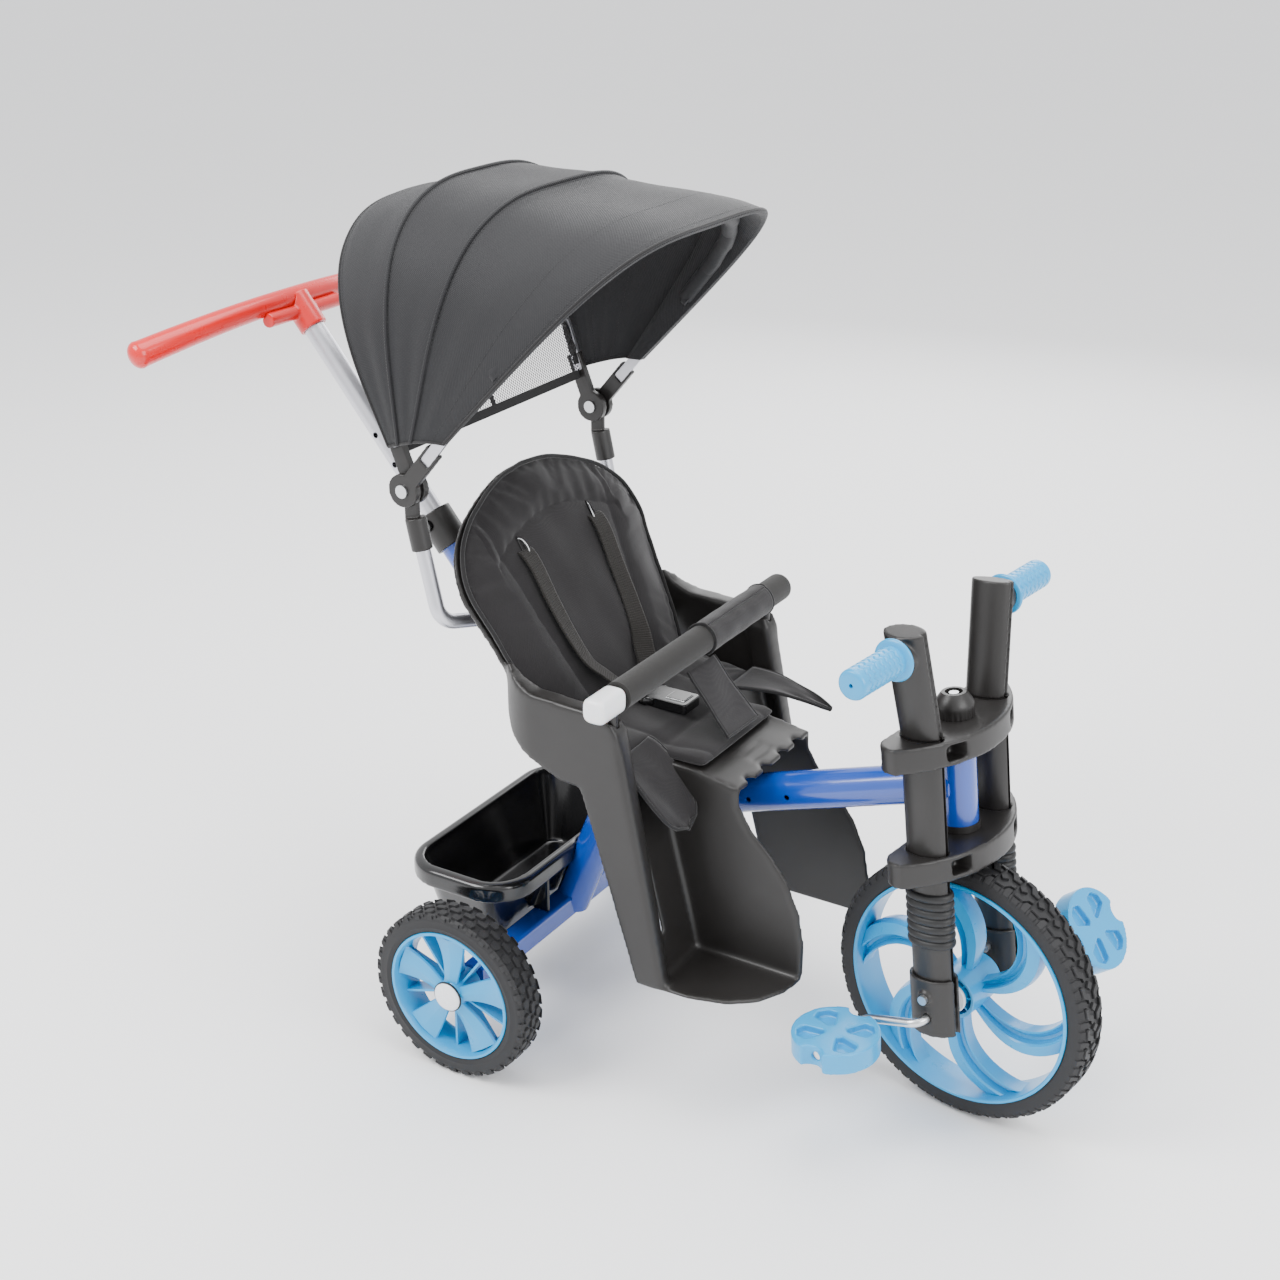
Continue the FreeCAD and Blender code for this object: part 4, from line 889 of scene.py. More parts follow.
# ------------------------------------------------------------------ wheels
@dataclass
class RearWheel:
    """A rear wheel: solid tyre with a block tread, a five-spoke rim and its domed cap."""

    shop: Shop
    side: str
    spokes: int = 5
    rim_radius: float = 77 * MM
    hub_radius: float = 17 * MM
    tread_height: float = 3.0 * MM
    blocks: int = 34

    def __post_init__(self) -> None:
        """Read the wheel's place and size from the frame."""
        low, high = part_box(f"rear_tyre_{self.side}")
        self.body = f"rear_wheel_{self.side[0]}"
        self.radius = (high.z - low.z) / 2
        self.half = (high.y - low.y) / 2
        outward = 1.0 if self.side == "left" else -1.0
        centre = self.shop.pivot(f"{self.side}_wheel_spin")
        self.place = bench(centre, ACROSS * outward, UP)

    def build(self) -> None:
        """Make the tyre, tread, rim and cap."""
        self.tyre()
        self.tread()
        self.rim()
        self.cap()

    def tyre(self) -> None:
        """The carcass: flat sidewalls, round shoulders and a faint ring on each wall."""
        base = self.radius - self.tread_height
        inner = self.rim_radius + 0.2 * MM
        wall = self.half - 0.4 * MM
        shoulder = [(base - 6.5 * MM + 6.5 * MM * math.sin(t), wall - 6.5 * MM + 6.5 * MM * math.cos(t))
                    for t in (math.pi / 2 * n / 6 for n in range(7))]
        ring = [(inner, wall - 1.5 * MM), (inner + 1.6 * MM, wall - 0.2 * MM), (inner + 5 * MM, wall),
                (inner + 5.6 * MM, wall + 0.35 * MM), (inner + 6.6 * MM, wall + 0.35 * MM), (inner + 7.2 * MM, wall)]
        profile = ring + shoulder
        profile += [(radius, -offset) for radius, offset in reversed(profile)]
        obj = lathe(Draft(), profile, self.place, 128).piece(f"RearTyre_{self.side}")
        self.shop.fit(obj, self.body, "tyre_rubber", f"rear_tyre_{self.side}")

    def tread(self) -> None:
        """Offset rows of six-sided blocks between rows of small shoulder blocks."""
        rubber = self.shop.finishes.by_slot["tyre_rubber"]
        pitch = math.tau / self.blocks
        rows = ((-0.58, 0.0, 0.34, 0.36), (0.0, 0.5, 0.40, 0.27), (0.58, 0.0, 0.34, 0.36))
        draft = Draft()
        for middle, phase, span, half_width in rows:
            outline = ((-span, -0.4), (-span * 0.6, -1.0), (span * 0.55, -1.0), (span, -0.25),
                       (span * 0.75, 1.0), (-span * 0.7, 1.0))
            self.block(draft, [((phase + a) * pitch, (middle + b * half_width * 0.72) * self.half * 0.82)
                               for a, b in outline])
        for end in (-1.0, 1.0):
            ledge = ((-0.36, 0.84), (0.30, 0.84), (0.30, 0.93), (0.02, 0.93), (0.02, 1.0), (-0.36, 1.0))
            self.block(draft, [((a + 0.5) * pitch, end * b * self.half * 0.97) for a, b in ledge], shoulder=True)
        part = draft.piece(f"rear_block_{self.side}", smooth=False)
        obj = ring_of(f"RearTread_{self.side}", part, self.blocks, self.place, rubber)
        shade(obj, 30.0)
        self.shop.fit(obj, self.body, "tyre_rubber", own=True)

    def block(self, draft: Draft, outline: Sequence[tuple[float, float]], shoulder: bool = False) -> None:
        """One rubber block with drafted sides.

        Args:
            draft: what it is added to.
            outline: (angle, offset) corners.
            shoulder: whether it follows the tyre's round shoulder.
        """
        centre = Vector((sum(a for a, _ in outline), sum(b for _, b in outline))) / len(outline)
        rings = []
        for share, lift in ((1.0, -1.2 * MM), (1.0, self.tread_height - 1.6 * MM), (0.86, self.tread_height)):
            ring = []
            for angle, offset in outline:
                turn = centre.x + (angle - centre.x) * share
                over = centre.y + (offset - centre.y) * share
                if shoulder:
                    drop = max(0.0, abs(over) - self.half * 0.80) * 0.9
                else:
                    drop = abs(over / self.half) * 0.8 * MM
                radius = self.radius - self.tread_height + lift - drop
                ring.append(Vector((radius * math.cos(turn), over, radius * math.sin(turn))))
            rings.append(ring)
        draft.loft(rings)

    def rim(self) -> None:
        """Barrel, dish, hub and five roof-shaped spokes with thin webs behind."""
        draft = Draft()
        half = self.half
        outer = self.rim_radius
        profile = [(outer, half - 1 * MM), (outer - 0.6 * MM, half), (outer - 3.4 * MM, half - 0.2 * MM),
                   (outer - 4.4 * MM, half - 2 * MM), (outer - 7 * MM, half * 0.3), (outer - 7 * MM, -half * 0.6),
                   (outer - 4.4 * MM, -half + 2 * MM), (outer - 0.6 * MM, -half), (outer, -half + 1 * MM)]
        lathe(draft, profile, self.place, 96)
        hub = [(6 * MM, half - 2.5 * MM), (self.hub_radius - 1.5 * MM, half - 2.5 * MM),
               (self.hub_radius, half - 4 * MM), (self.hub_radius + 1.5 * MM, -half + 4 * MM),
               (self.hub_radius, -half + 2 * MM), (6 * MM, -half + 2 * MM)]
        lathe(draft, hub, self.place, 48)
        for number in range(self.spokes):
            self.spoke(draft, math.tau * (number + 0.25) / self.spokes)
        for number in range(self.spokes * 2):
            self.web(draft, math.tau * (number + 0.5) / (self.spokes * 2))
        obj = draft.piece(f"RearRim_{self.side}")
        shade(obj, 28.0)
        self.shop.fit(obj, self.body, "cyan_plastic", f"rear_rim_{self.side}")

    def spoke(self, draft: Draft, angle: float) -> None:
        """A broad spoke that widens outwards, with a ridge along its face."""
        along = Vector((math.cos(angle), 0, math.sin(angle)))
        side = Vector((-math.sin(angle), 0, math.cos(angle)))
        rings = []
        steps = 12
        for number in range(steps + 1):
            share = number / steps
            radius = self.hub_radius - 2 * MM + share * (self.rim_radius - 6 * MM - self.hub_radius + 2 * MM)
            width = (8.5 + 12.5 * share ** 1.25) * MM
            face = self.half - (2.6 + 4.2 * math.sin(math.pi * share) + 1.6 * share) * MM
            ridge = 3.6 * MM * (1 - share * 0.35)
            section = [(-width, face - ridge - 2.0 * MM), (-width * 0.94, face - ridge), (-0.8 * MM, face),
                       (0.8 * MM, face), (width * 0.94, face - ridge), (width, face - ridge - 2.0 * MM),
                       (width * 0.9, face - ridge - 5 * MM), (-width * 0.9, face - ridge - 5 * MM)]
            bow = math.sqrt(max(0.0, 1 - (width / radius) ** 2 * 0.5)) if share == 1 else 1.0
            rings.append([self.spot(along * radius * bow + side * a, b) for a, b in section])
        draft.loft(rings)

    def spot(self, flat: Vector, offset: float) -> Vector:
        """A point of the wheel's plane, moved along the axle."""
        return self.place.at(flat.x, offset, flat.z)

    def web(self, draft: Draft, angle: float) -> None:
        """A thin stiffening rib between hub and barrel."""
        along = Vector((math.cos(angle), 0, math.sin(angle)))
        side = Vector((-math.sin(angle), 0, math.cos(angle))) * (1.3 * MM)
        rings = []
        for radius in (self.hub_radius - 1 * MM, self.rim_radius - 6 * MM):
            rings.append([self.spot(along * radius + side * a, b) for a, b in
                          ((-1, -self.half * 0.55), (1, -self.half * 0.55), (1, self.half * 0.35),
                           (-1, self.half * 0.35))])
        draft.loft(rings)

    def cap(self) -> None:
        """The white domed cap with its thin dark seat."""
        low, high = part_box(f"rear_cap_{self.side}")
        radius = (high.z - low.z) / 2
        reach = high.y - low.y
        face = self.half - 0.4 * MM
        dome = [(0.05 * MM, face), (radius, face), (radius, face + reach * 0.35),
                (radius - 0.7 * MM, face + reach * 0.5)]
        dome += [(radius * math.cos(t) * 0.93, face + reach * (0.55 + 0.45 * math.sin(t)))
                 for t in (math.pi / 2 * n / 7 for n in range(1, 7))]
        dome += [(0.05 * MM, face + reach)]
        obj = lathe(Draft(), dome, self.place, 48).piece(f"RearCap_{self.side}")
        self.shop.fit(obj, self.body, "white_plastic", f"rear_cap_{self.side}")
        seat = [(radius - 1 * MM, face - 0.8 * MM), (radius + 1.3 * MM, face - 0.8 * MM),
                (radius + 1.3 * MM, face + 0.9 * MM), (radius - 1 * MM, face + 0.9 * MM)]
        ring = lathe(Draft(), seat, self.place, 48).piece(f"RearCapSeat_{self.side}")
        self.shop.fit(ring, self.body, "black_rubber")


@dataclass
class FrontWheel:
    """The driven front wheel: tyre with a chevron tread and a rim of six twisted spokes."""

    shop: Shop
    spokes: int = 6
    rim_radius: float = 128.5 * MM
    hub_radius: float = 25.5 * MM
    tread_height: float = 3.2 * MM
    blocks: int = 40

    def __post_init__(self) -> None:
        """Lay the wheel out on its axle."""
        self.place = bench(self.shop.pivot("front_wheel_spin"), self.shop.axis("front_wheel_spin"),
                           self.shop.axis("steering"))
        self.radius = self.shop.pivot("front_wheel_spin").z
        self.half = 21.3 * MM
        self.rim_half = 22.6 * MM

    def build(self) -> None:
        """Make the tyre, tread and rim; dress the bushes and crank."""
        self.tyre()
        self.tread()
        self.rim()
        self.bushes()
        self.shop.finishes.dress(self.shop.nodes["crank_rod"], "zinc_steel")

    def tyre(self) -> None:
        """The carcass with smooth sidewalls."""
        base = self.radius - self.tread_height
        inner = self.rim_radius + 0.2 * MM
        wall = self.half
        shoulder = [(base - 7.5 * MM + 7.5 * MM * math.sin(t), wall - 7.5 * MM + 7.5 * MM * math.cos(t))
                    for t in (math.pi / 2 * n / 7 for n in range(8))]
        profile = [(inner, wall - 3 * MM), (inner + 0.4 * MM, wall - 0.9 * MM), (inner + 3 * MM, wall)] + shoulder
        profile += [(radius, -offset) for radius, offset in reversed(profile)]
        obj = lathe(Draft(), profile, self.place, 160).piece("FrontTyre")
        self.shop.fit(obj, "front_wheel", "tyre_rubber", "front_tyre")

    def tread(self) -> None:
        """Stepped chevrons, a zigzag centre bar and shoulder lugs, repeated round the tyre."""
        pitch = math.tau / self.blocks
        draft = Draft()
        for end in (-1.0, 1.0):
            arm = ((0.05, 0.16), (0.42, 0.16), (0.62, 0.52), (0.92, 0.56), (0.92, 0.74), (0.42, 0.72), (0.24, 0.40),
                   (0.05, 0.36))
            self.block(draft, [(a * pitch, end * b * self.half) for a, b in arm])
            lug = ((0.02, 0.54), (0.26, 0.60), (0.34, 0.80), (0.30, 0.99), (0.0, 0.99))
            self.block(draft, [(a * pitch, end * b * self.half) for a, b in lug])
            edge = ((0.48, 0.82), (0.88, 0.82), (0.84, 0.99), (0.50, 0.99))
            self.block(draft, [(a * pitch, end * b * self.half) for a, b in edge])
        lozenge = ((0.55, -0.02), (0.78, -0.24), (0.98, 0.0), (0.78, 0.24))
        self.block(draft, [(a * pitch, b * self.half) for a, b in lozenge])
        part = draft.piece("front_block", smooth=False)
        rubber = self.shop.finishes.by_slot["tyre_rubber"]
        obj = ring_of("FrontTread", part, self.blocks, self.place, rubber)
        shade(obj, 30.0)
        self.shop.fit(obj, "front_wheel", "tyre_rubber", own=True)

    def block(self, draft: Draft, outline: Sequence[tuple[float, float]]) -> None:
        """One block of the tread, from its (angle, offset) corners."""
        middle = Vector((sum(a for a, _ in outline), sum(b for _, b in outline))) / len(outline)
        rings = []
        for share, lift in ((1.02, -1.2 * MM), (1.0, self.tread_height - 0.9 * MM), (0.9, self.tread_height)):
            ring = []
            for angle, offset in outline:
                turn = middle.x + (angle - middle.x) * share
                over = middle.y + (offset - middle.y) * share
                drop = max(0.0, abs(over) - self.half * 0.62) ** 2 / self.half * 1.9
                radius = self.radius - self.tread_height + lift - drop - 0.3 * MM
                ring.append(Vector((radius * math.cos(turn), over, radius * math.sin(turn))))
            rings.append(ring)
        draft.loft(rings)

    def rim(self) -> None:
        """Deep barrel with a bright lip, ringed hub and the twisted spokes."""
        draft = Draft()
        half = self.rim_half
        outer = self.rim_radius
        barrel = [(outer, half - 0.8 * MM), (outer - 0.8 * MM, half), (outer - 3.2 * MM, half),
                  (outer - 4.2 * MM, half - 1.4 * MM), (outer - 5.4 * MM, half * 0.2), (outer - 5.4 * MM, -half * 0.2),
                  (outer - 4.2 * MM, -half + 1.4 * MM), (outer - 3.2 * MM, -half), (outer - 0.8 * MM, -half),
                  (outer, -half + 0.8 * MM)]
        lathe(draft, barrel, self.place, 144)
        reach = 28.6 * MM
        hub = [(self.hub_radius - 4 * MM, reach - 1 * MM), (self.hub_radius - 0.8 * MM, reach),
               (self.hub_radius, reach - 1 * MM),
               (self.hub_radius + 1.2 * MM, half * 0.3), (self.hub_radius + 1.2 * MM, -half * 0.3),
               (self.hub_radius, -reach + 1 * MM), (self.hub_radius - 0.8 * MM, -reach),
               (self.hub_radius - 4 * MM, -reach + 1 * MM)]
        lathe(draft, hub, self.place, 64)
        sleeve = [(12.2 * MM, reach - 2 * MM), (15.4 * MM, reach - 2 * MM), (15.4 * MM, -reach + 2 * MM),
                  (12.2 * MM, -reach + 2 * MM)]
        lathe(draft, sleeve, self.place, 48)
        floor = [(15 * MM, 3 * MM), (self.hub_radius - 3 * MM, 3 * MM), (self.hub_radius - 3 * MM, -3 * MM),
                 (15 * MM, -3 * MM)]
        lathe(draft, floor, self.place, 48)
        for number in range(8):
            self.web(draft, math.tau * number / 8, reach - 3.5 * MM)
        for number in range(self.spokes):
            self.spoke(draft, math.tau * number / self.spokes + 0.32)
        obj = draft.piece("FrontRim")
        shade(obj, 26.0)
        self.shop.fit(obj, "front_wheel", "cyan_plastic", "front_rim")

    def web(self, draft: Draft, angle: float, reach: float) -> None:
        """A radial web inside the hub."""
        along = Vector((math.cos(angle), 0, math.sin(angle)))
        side = Vector((-math.sin(angle), 0, math.cos(angle))) * (0.9 * MM)
        rings = []
        for radius in (14.8 * MM, self.hub_radius - 1.5 * MM):
            rings.append([self.spot(along * radius + side * a, b) for a, b in
                          ((-1, -reach), (1, -reach), (1, reach), (-1, reach))])
        draft.loft(rings)

    def spot(self, flat: Vector, offset: float) -> Vector:
        """A point of the wheel's plane, moved along the axle."""
        return self.place.at(flat.x, offset, flat.z)

    def spoke(self, draft: Draft, start: float) -> None:
        """A spoke of two blades with a trough between, swept and twisted on its way out."""
        rings = []
        steps = 20
        inner = self.hub_radius - 1.5 * MM
        reach = self.rim_radius - 5 * MM
        for number in range(steps + 1):
            share = number / steps
            radius = inner + (reach - inner) * share
            sweep = start + 0.60 * share ** 1.5 - 0.10 * math.sin(math.pi * share)
            wide = (6.5 + 17.5 * share ** 1.15) * MM
            lean = 0.42 * math.sin(math.pi * min(1.0, share * 1.1)) - 0.18
            depth = (11.0 + 3.0 * share) * MM
            outline = ((-1.0, 0.25), (-0.93, 0.78), (-0.12, 1.0), (0.02, 0.86), (0.10, 0.25), (0.34, 0.16),
                       (0.62, 0.30), (0.86, 0.72), (1.0, 0.66), (0.98, 0.2))
            section = [(a * wide, b * depth) for a, b in outline]
            section += [(a, -b) for a, b in reversed(section)]
            along = Vector((math.cos(sweep), 0, math.sin(sweep)))
            side = Vector((-math.sin(sweep), 0, math.cos(sweep)))
            ring = []
            for a, b in section:
                turned_a = a * math.cos(lean) - b * math.sin(lean) * 0.4
                turned_b = b + a * math.sin(lean) * 0.35
                flat = along * radius + side * turned_a
                if flat.length > reach:
                    flat *= reach / flat.length
                ring.append(self.spot(flat, turned_b))
            rings.append(ring)
        draft.loft(rings)

    def bushes(self) -> None:
        """The grey-white flanged bushes in the hub."""
        draft = Draft()
        for end in (-1, 1):
            profile = [(5 * MM, 1 * MM), (11.8 * MM, 1 * MM), (11.8 * MM, 29 * MM), (16.4 * MM, 29 * MM),
                       (17 * MM, 29.8 * MM), (17 * MM, 32.2 * MM), (16.2 * MM, 33 * MM),
                       (10 * MM, 33 * MM), (9.4 * MM, 42.6 * MM),
                       (5 * MM, 43 * MM)]
            lathe(draft, [(r, end * y) for r, y in profile], self.place, 40)
        obj = draft.piece("ClutchBushes")
        self.shop.fit(obj, "front_wheel", "white_plastic", "clutch_bushes")


@dataclass
class Pedals:
    """Two round pedals with scalloped ends."""

    shop: Shop

    def build(self) -> None:
        """Soften both mouldings."""
        for side, body in (("left", "pedal_l"), ("right", "pedal_r")):
            node = self.shop.nodes[f"pedal_{side}"]
            obj = moulded(f"Pedal_{side}_moulding", [node], 1.15 * MM, 5, 0.6)
            self.shop.fit(obj, body, "cyan_plastic", f"pedal_{side}")


# ------------------------------------------------------------------ fork
@dataclass
class Fork:
    """Legs, plates, bellows, brackets, knob and grips, laid out on the steering axis."""

    shop: Shop
    leg_spacing: float = 62 * MM
    leg_half_length: float = 23 * MM
    leg_half_width: float = 14 * MM
    bellows_low: float = 80 * MM
    bellows_pitch: float = 8.8 * MM
    bellows_ribs: int = 7
    grip_height: float = 403.5 * MM
    grip_start: float = 101 * MM
    grip_end: float = 176 * MM
    grip_radius: float = 15.6 * MM

    def __post_init__(self) -> None:
        """Lay the fork out on its own axes."""
        self.place = bench(self.shop.pivot("front_wheel_spin"), self.shop.axis("front_wheel_spin"),
                           self.shop.axis("steering"))

    def build(self) -> None:
        """Make every piece of the fork."""
        nodes = self.shop.nodes
        for name in ("lower_plate", "upper_plate"):
            obj = moulded("Moulded_" + name, [nodes[name]], 1.7 * MM, 6, 0.55)
            self.shop.fit(obj, "fork", "black_plastic", name)
        for name in ("grip_post_left", "grip_post_right", "axle_brackets"):
            obj = moulded("Moulded_" + name, [nodes[name]], 1.3 * MM, 5, 0.6)
            self.shop.fit(obj, "fork", "black_plastic", name)
        for name in ("fork_leg_left", "fork_leg_right"):
            self.shop.finishes.dress(nodes[name], "black_plastic")
        for name in ("steering_stem", "bracket_screws"):
            self.shop.finishes.dress(nodes[name], "zinc_steel")
        self.knob()
        self.bellows()
        self.grips()

    def knob(self) -> None:
        """The domed cover with grip scallops round its foot."""
        low = 309.2 * MM
        radius = 20.5 * MM
        height = 25 * MM
        rings = []
        levels = 14
        for number in range(levels + 1):
            share = number / levels
            body = radius * (1 - 0.42 * max(0.0, share - 0.45) ** 1.6 * 2.4)
            depth = 0.9 * MM * max(0.0, 1 - share * 2.2)
            rings.append([self.place.at((body - depth * (0.5 + 0.5 * math.cos(24 * t))) * math.cos(t),
                                        (body - depth * (0.5 + 0.5 * math.cos(24 * t))) * math.sin(t),
                                        low + height * share) for t in (math.tau * n / 144 for n in range(144))])
        mouth = rings[-1]
        middle = sum(mouth, Vector()) / len(mouth)
        rings.append([middle + (point - middle) * 0.72 for point in mouth])
        rings.append([middle + (point - middle) * 0.68 - self.place.up * (7 * MM) for point in mouth])
        obj = Draft().loft(rings).piece("SteeringKnob")
        self.shop.fit(obj, "fork", "black_plastic", "steering_knob")

    def bellows(self) -> None:
        """Ribbed rubber sleeves under the lower plate."""
        draft = Draft()
        top = self.bellows_low + self.bellows_ribs * self.bellows_pitch
        for end in (-1, 1):
            rings = []
            levels = self.bellows_ribs * 8
            for number in range(levels + 1):
                height = self.bellows_low + (top - self.bellows_low) * number / levels
                wave = abs(math.sin(math.pi * number / 8)) ** 0.6
                grow = 1.4 * MM + 2.5 * MM * wave
                rings.append([self.place.at((self.leg_half_length + grow) * math.cos(t),
                                            end * self.leg_spacing + (self.leg_half_width + grow) * math.sin(t), height)
                              for t in (math.tau * n / 48 for n in range(48))])
            draft.loft(rings)
        obj = draft.piece("ForkBellows")
        self.shop.fit(obj, "fork", "black_rubber", "fork_bellows")

    def grips(self) -> None:
        """Cyan rubber grips with stepped zigzag grooves and a flange."""
        draft = Draft()
        for end in (-1, 1):
            rings = []
            steps = 110
            sides = 96
            for number in range(steps + 1):
                share = number / steps
                along = self.grip_start + (self.grip_end - self.grip_start) * share
                ring = []
                for turn in range(sides):
                    angle = math.tau * turn / sides
                    radius = self.grip_profile(share, angle)
                    ring.append(self.place.at(radius * math.cos(angle), end * along,
                                              self.grip_height + radius * math.sin(angle)))
                rings.append(ring)
            hole = []
            middle = self.place.at(0, end * self.grip_end, self.grip_height)
            for scale, sink in ((0.82, -0.6), (0.16, -0.6), (0.14, 5.0)):
                hole.append([middle + (point - middle) * scale - self.place.across * (end * sink * MM)
                             for point in rings[-1]])
            draft.loft(rings + hole)
        obj = draft.piece("Grips")
        shade(obj, 50.0)
        self.shop.fit(obj, "fork", "cyan_plastic", "grips")

    def grip_profile(self, share: float, angle: float) -> float:
        """The radius of a grip at a share of its length and an angle."""
        if share < 0.075:
            rise = math.sin(math.pi * min(1.0, (share + 0.012) / 0.087)) ** 0.35
            return self.grip_radius + 6.2 * MM * rise
        zig = abs(((angle / math.tau * 12) % 1.0) * 2 - 1)
        row = (share - 0.08) * 9.0 + zig * 0.42
        cut = 1.0 if row % 1.0 < 0.24 and 0.14 < share < 0.92 else 0.0
        nose = max(0.0, share - 0.95) / 0.05
        return self.grip_radius - 0.9 * MM * cut - 1.6 * MM * nose ** 2


# ------------------------------------------------------------------ frame and push handle
@dataclass
class FrameTubes:
    """The painted steel frame with its beam, sleeve and fasteners."""

    shop: Shop

    def build(self) -> None:
        """Dress the tubes; soften the collar and clamps."""
        dress = self.shop.finishes.dress
        nodes = self.shop.nodes
        for name in ("main_frame", "head_tube", "push_sleeve", "rear_beam"):
            dress(nodes[name], "blue_paint")
        for name in ("rear_axle", "frame_fasteners", "hub_pins"):
            dress(nodes[name], "zinc_steel")
        dress(nodes["head_bushes"], "black_plastic")
        for name in ("hood_support", "rear_bow", "front_bow", "push_tube"):
            dress(nodes[name], "silver_tube")
        for name, voxel in (("tube_collar", 1.0), ("support_clamps", 1.1), ("hub_sockets", 0.95)):
            obj = moulded("Moulded_" + name, [nodes[name]], voxel * MM, 4, 0.6)
            self.shop.fit(obj, "frame", "black_plastic", name)
        dress(nodes["collar_button"], "black_gloss")
        self.welds()

    def welds(self) -> None:
        """A painted fillet weld where the main tube meets the head tube."""
        low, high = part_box("head_tube")
        middle = (low + high) / 2
        along = self.shop.axis("steering")
        ahead = ACROSS.cross(along).normalized()
        draft = Draft()
        path = []
        for number in range(48):
            turn = math.tau * number / 48
            across = 21.4 * MM * math.cos(turn)
            back = math.sqrt(max(0.0, (20.6 * MM) ** 2 - min(abs(across), 20.5 * MM) ** 2))
            path.append(middle - ahead * back + ACROSS * across + along * (22.5 * MM * math.sin(turn)))
        draft.tube(path, 2.0 * MM, 8, looped=True)
        obj = draft.piece("HeadWeld")
        self.shop.fit(obj, "frame", "blue_paint")


@dataclass
class PushHandle:
    """The red bar with its end caps, on the sliding tube."""

    shop: Shop
    steps: int = 56

    def build(self) -> None:
        """Make the bar and dress the tee."""
        low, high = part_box("push_handle")
        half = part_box("handle_caps")[1].y - 4 * MM
        front = high.x - 12.0 * MM
        rear = low.x + 14.0 * MM
        crown = high.z - 12.0 * MM
        drop = 25 * MM
        path = []
        for number in range(self.steps + 1):
            share = math.sin(math.pi / 2 * (number / self.steps * 2 - 1))
            bow = share ** 2
            path.append(Vector((front + (rear - front) * bow, half * share, crown - drop * bow)))
        reach = path[-1].y
        rings = []
        for ring, point in zip(sections(path, lambda _: circle(1.0, 32)), path):
            radius = self.thickness(abs(point.y) / reach)
            rings.append([point + (spot - point) * radius for spot in ring])
        obj = Draft().loft(rings).piece("PushBar")
        self.shop.fit(obj, "push", "red_plastic", "push_handle", "handle_caps")
        tee = moulded("Moulded_handle_tee", [self.shop.nodes["handle_tee"]], 1.2 * MM, 5, 0.6)
        self.shop.fit(tee, "push", "red_plastic", "handle_tee")

    def thickness(self, outward: float) -> float:
        """The bar's radius at a share of its half length, with a rounded end."""
        swell = 12 * MM + 3 * MM * outward ** 1.5
        if outward > 0.945:
            cap = (outward - 0.945) / 0.055
            return max(0.4 * MM, (swell + 0.8 * MM) * math.sqrt(max(0.0, 1 - cap ** 2.6)))
        return swell


# ------------------------------------------------------------------ cloth
class ClothSheet:
    """A sheet of cloth as a grid of points, with its own map in metres and a thin body."""

    def __init__(self, rows: Sequence[Path]) -> None:
        """Keep the grid; each row runs across the cloth."""
        self.rows = [list(row) for row in rows]

    def size(self) -> tuple[float, float, float]:
        """The sheet's widest row, longest column and area."""
        width = max(sum((b - a).length for a, b in zip(row, row[1:])) for row in self.rows)
        columns = list(zip(*self.rows))
        length = max(sum((b - a).length for a, b in zip(line, line[1:])) for line in columns)
        area = 0.0
        for low, high in zip(self.rows, self.rows[1:]):
            for a, b, c, d in zip(low, low[1:], high[1:], high):
                area += (b - a).cross(d - a).length / 2 + (b - c).cross(d - c).length / 2
        return width, length, area

    def piece(self, name: str, thickness: float) -> bpy.types.Object:
        """Make the object: a map of lengths along the cloth, then a wall on both sides of the grid."""
        draft = Draft().loft(self.rows, closed=False, caps=False)
        obj = draft.piece(name, recalculate=False)
        spots = []
        middle = len(self.rows[0]) // 2
        climb = 0.0
        for number, row in enumerate(self.rows):
            if number:
                climb += (row[middle] - self.rows[number - 1][middle]).length
            run = 0.0
            line = []
            for place, point in enumerate(row):
                if place:
                    run += (point - row[place - 1]).length
                line.append(run)
            spots += [(value - line[middle], climb) for value in line]
        layer = obj.data.uv_layers.new(name="cloth")
        for loop in obj.data.loops:
            layer.data[loop.index].uv = spots[loop.vertex_index]
        if thickness > 0:
            wall = obj.modifiers.new("wall", "SOLIDIFY")
            wall.thickness = thickness
            wall.offset = 0.0
            settle(obj)
        obj.data.polygons.foreach_set("use_smooth", [True] * len(obj.data.polygons))
        return obj


def declare(obj: bpy.types.Object, cloth: ClothSheet) -> None:
    """Say that a piece is a sheet cut to its grid's size."""
    width, length, area = cloth.size()
    log.info("sheet %-20s %.0f x %.0f mm, %.4f m2", obj.name, width * 1000, length * 1000, area)
    min(area, width * length)


def hash_wave(a: float, b: float) -> float:
    """A smooth irregular value between -1 and 1 for two numbers."""
    return (math.sin(a * 1.7 + b * 2.3) + math.sin(a * 3.1 - b * 1.3 + 1.7) * 0.6
            + math.sin(a * 0.7 + b * 4.1 + 0.6) * 0.4) / 2.0


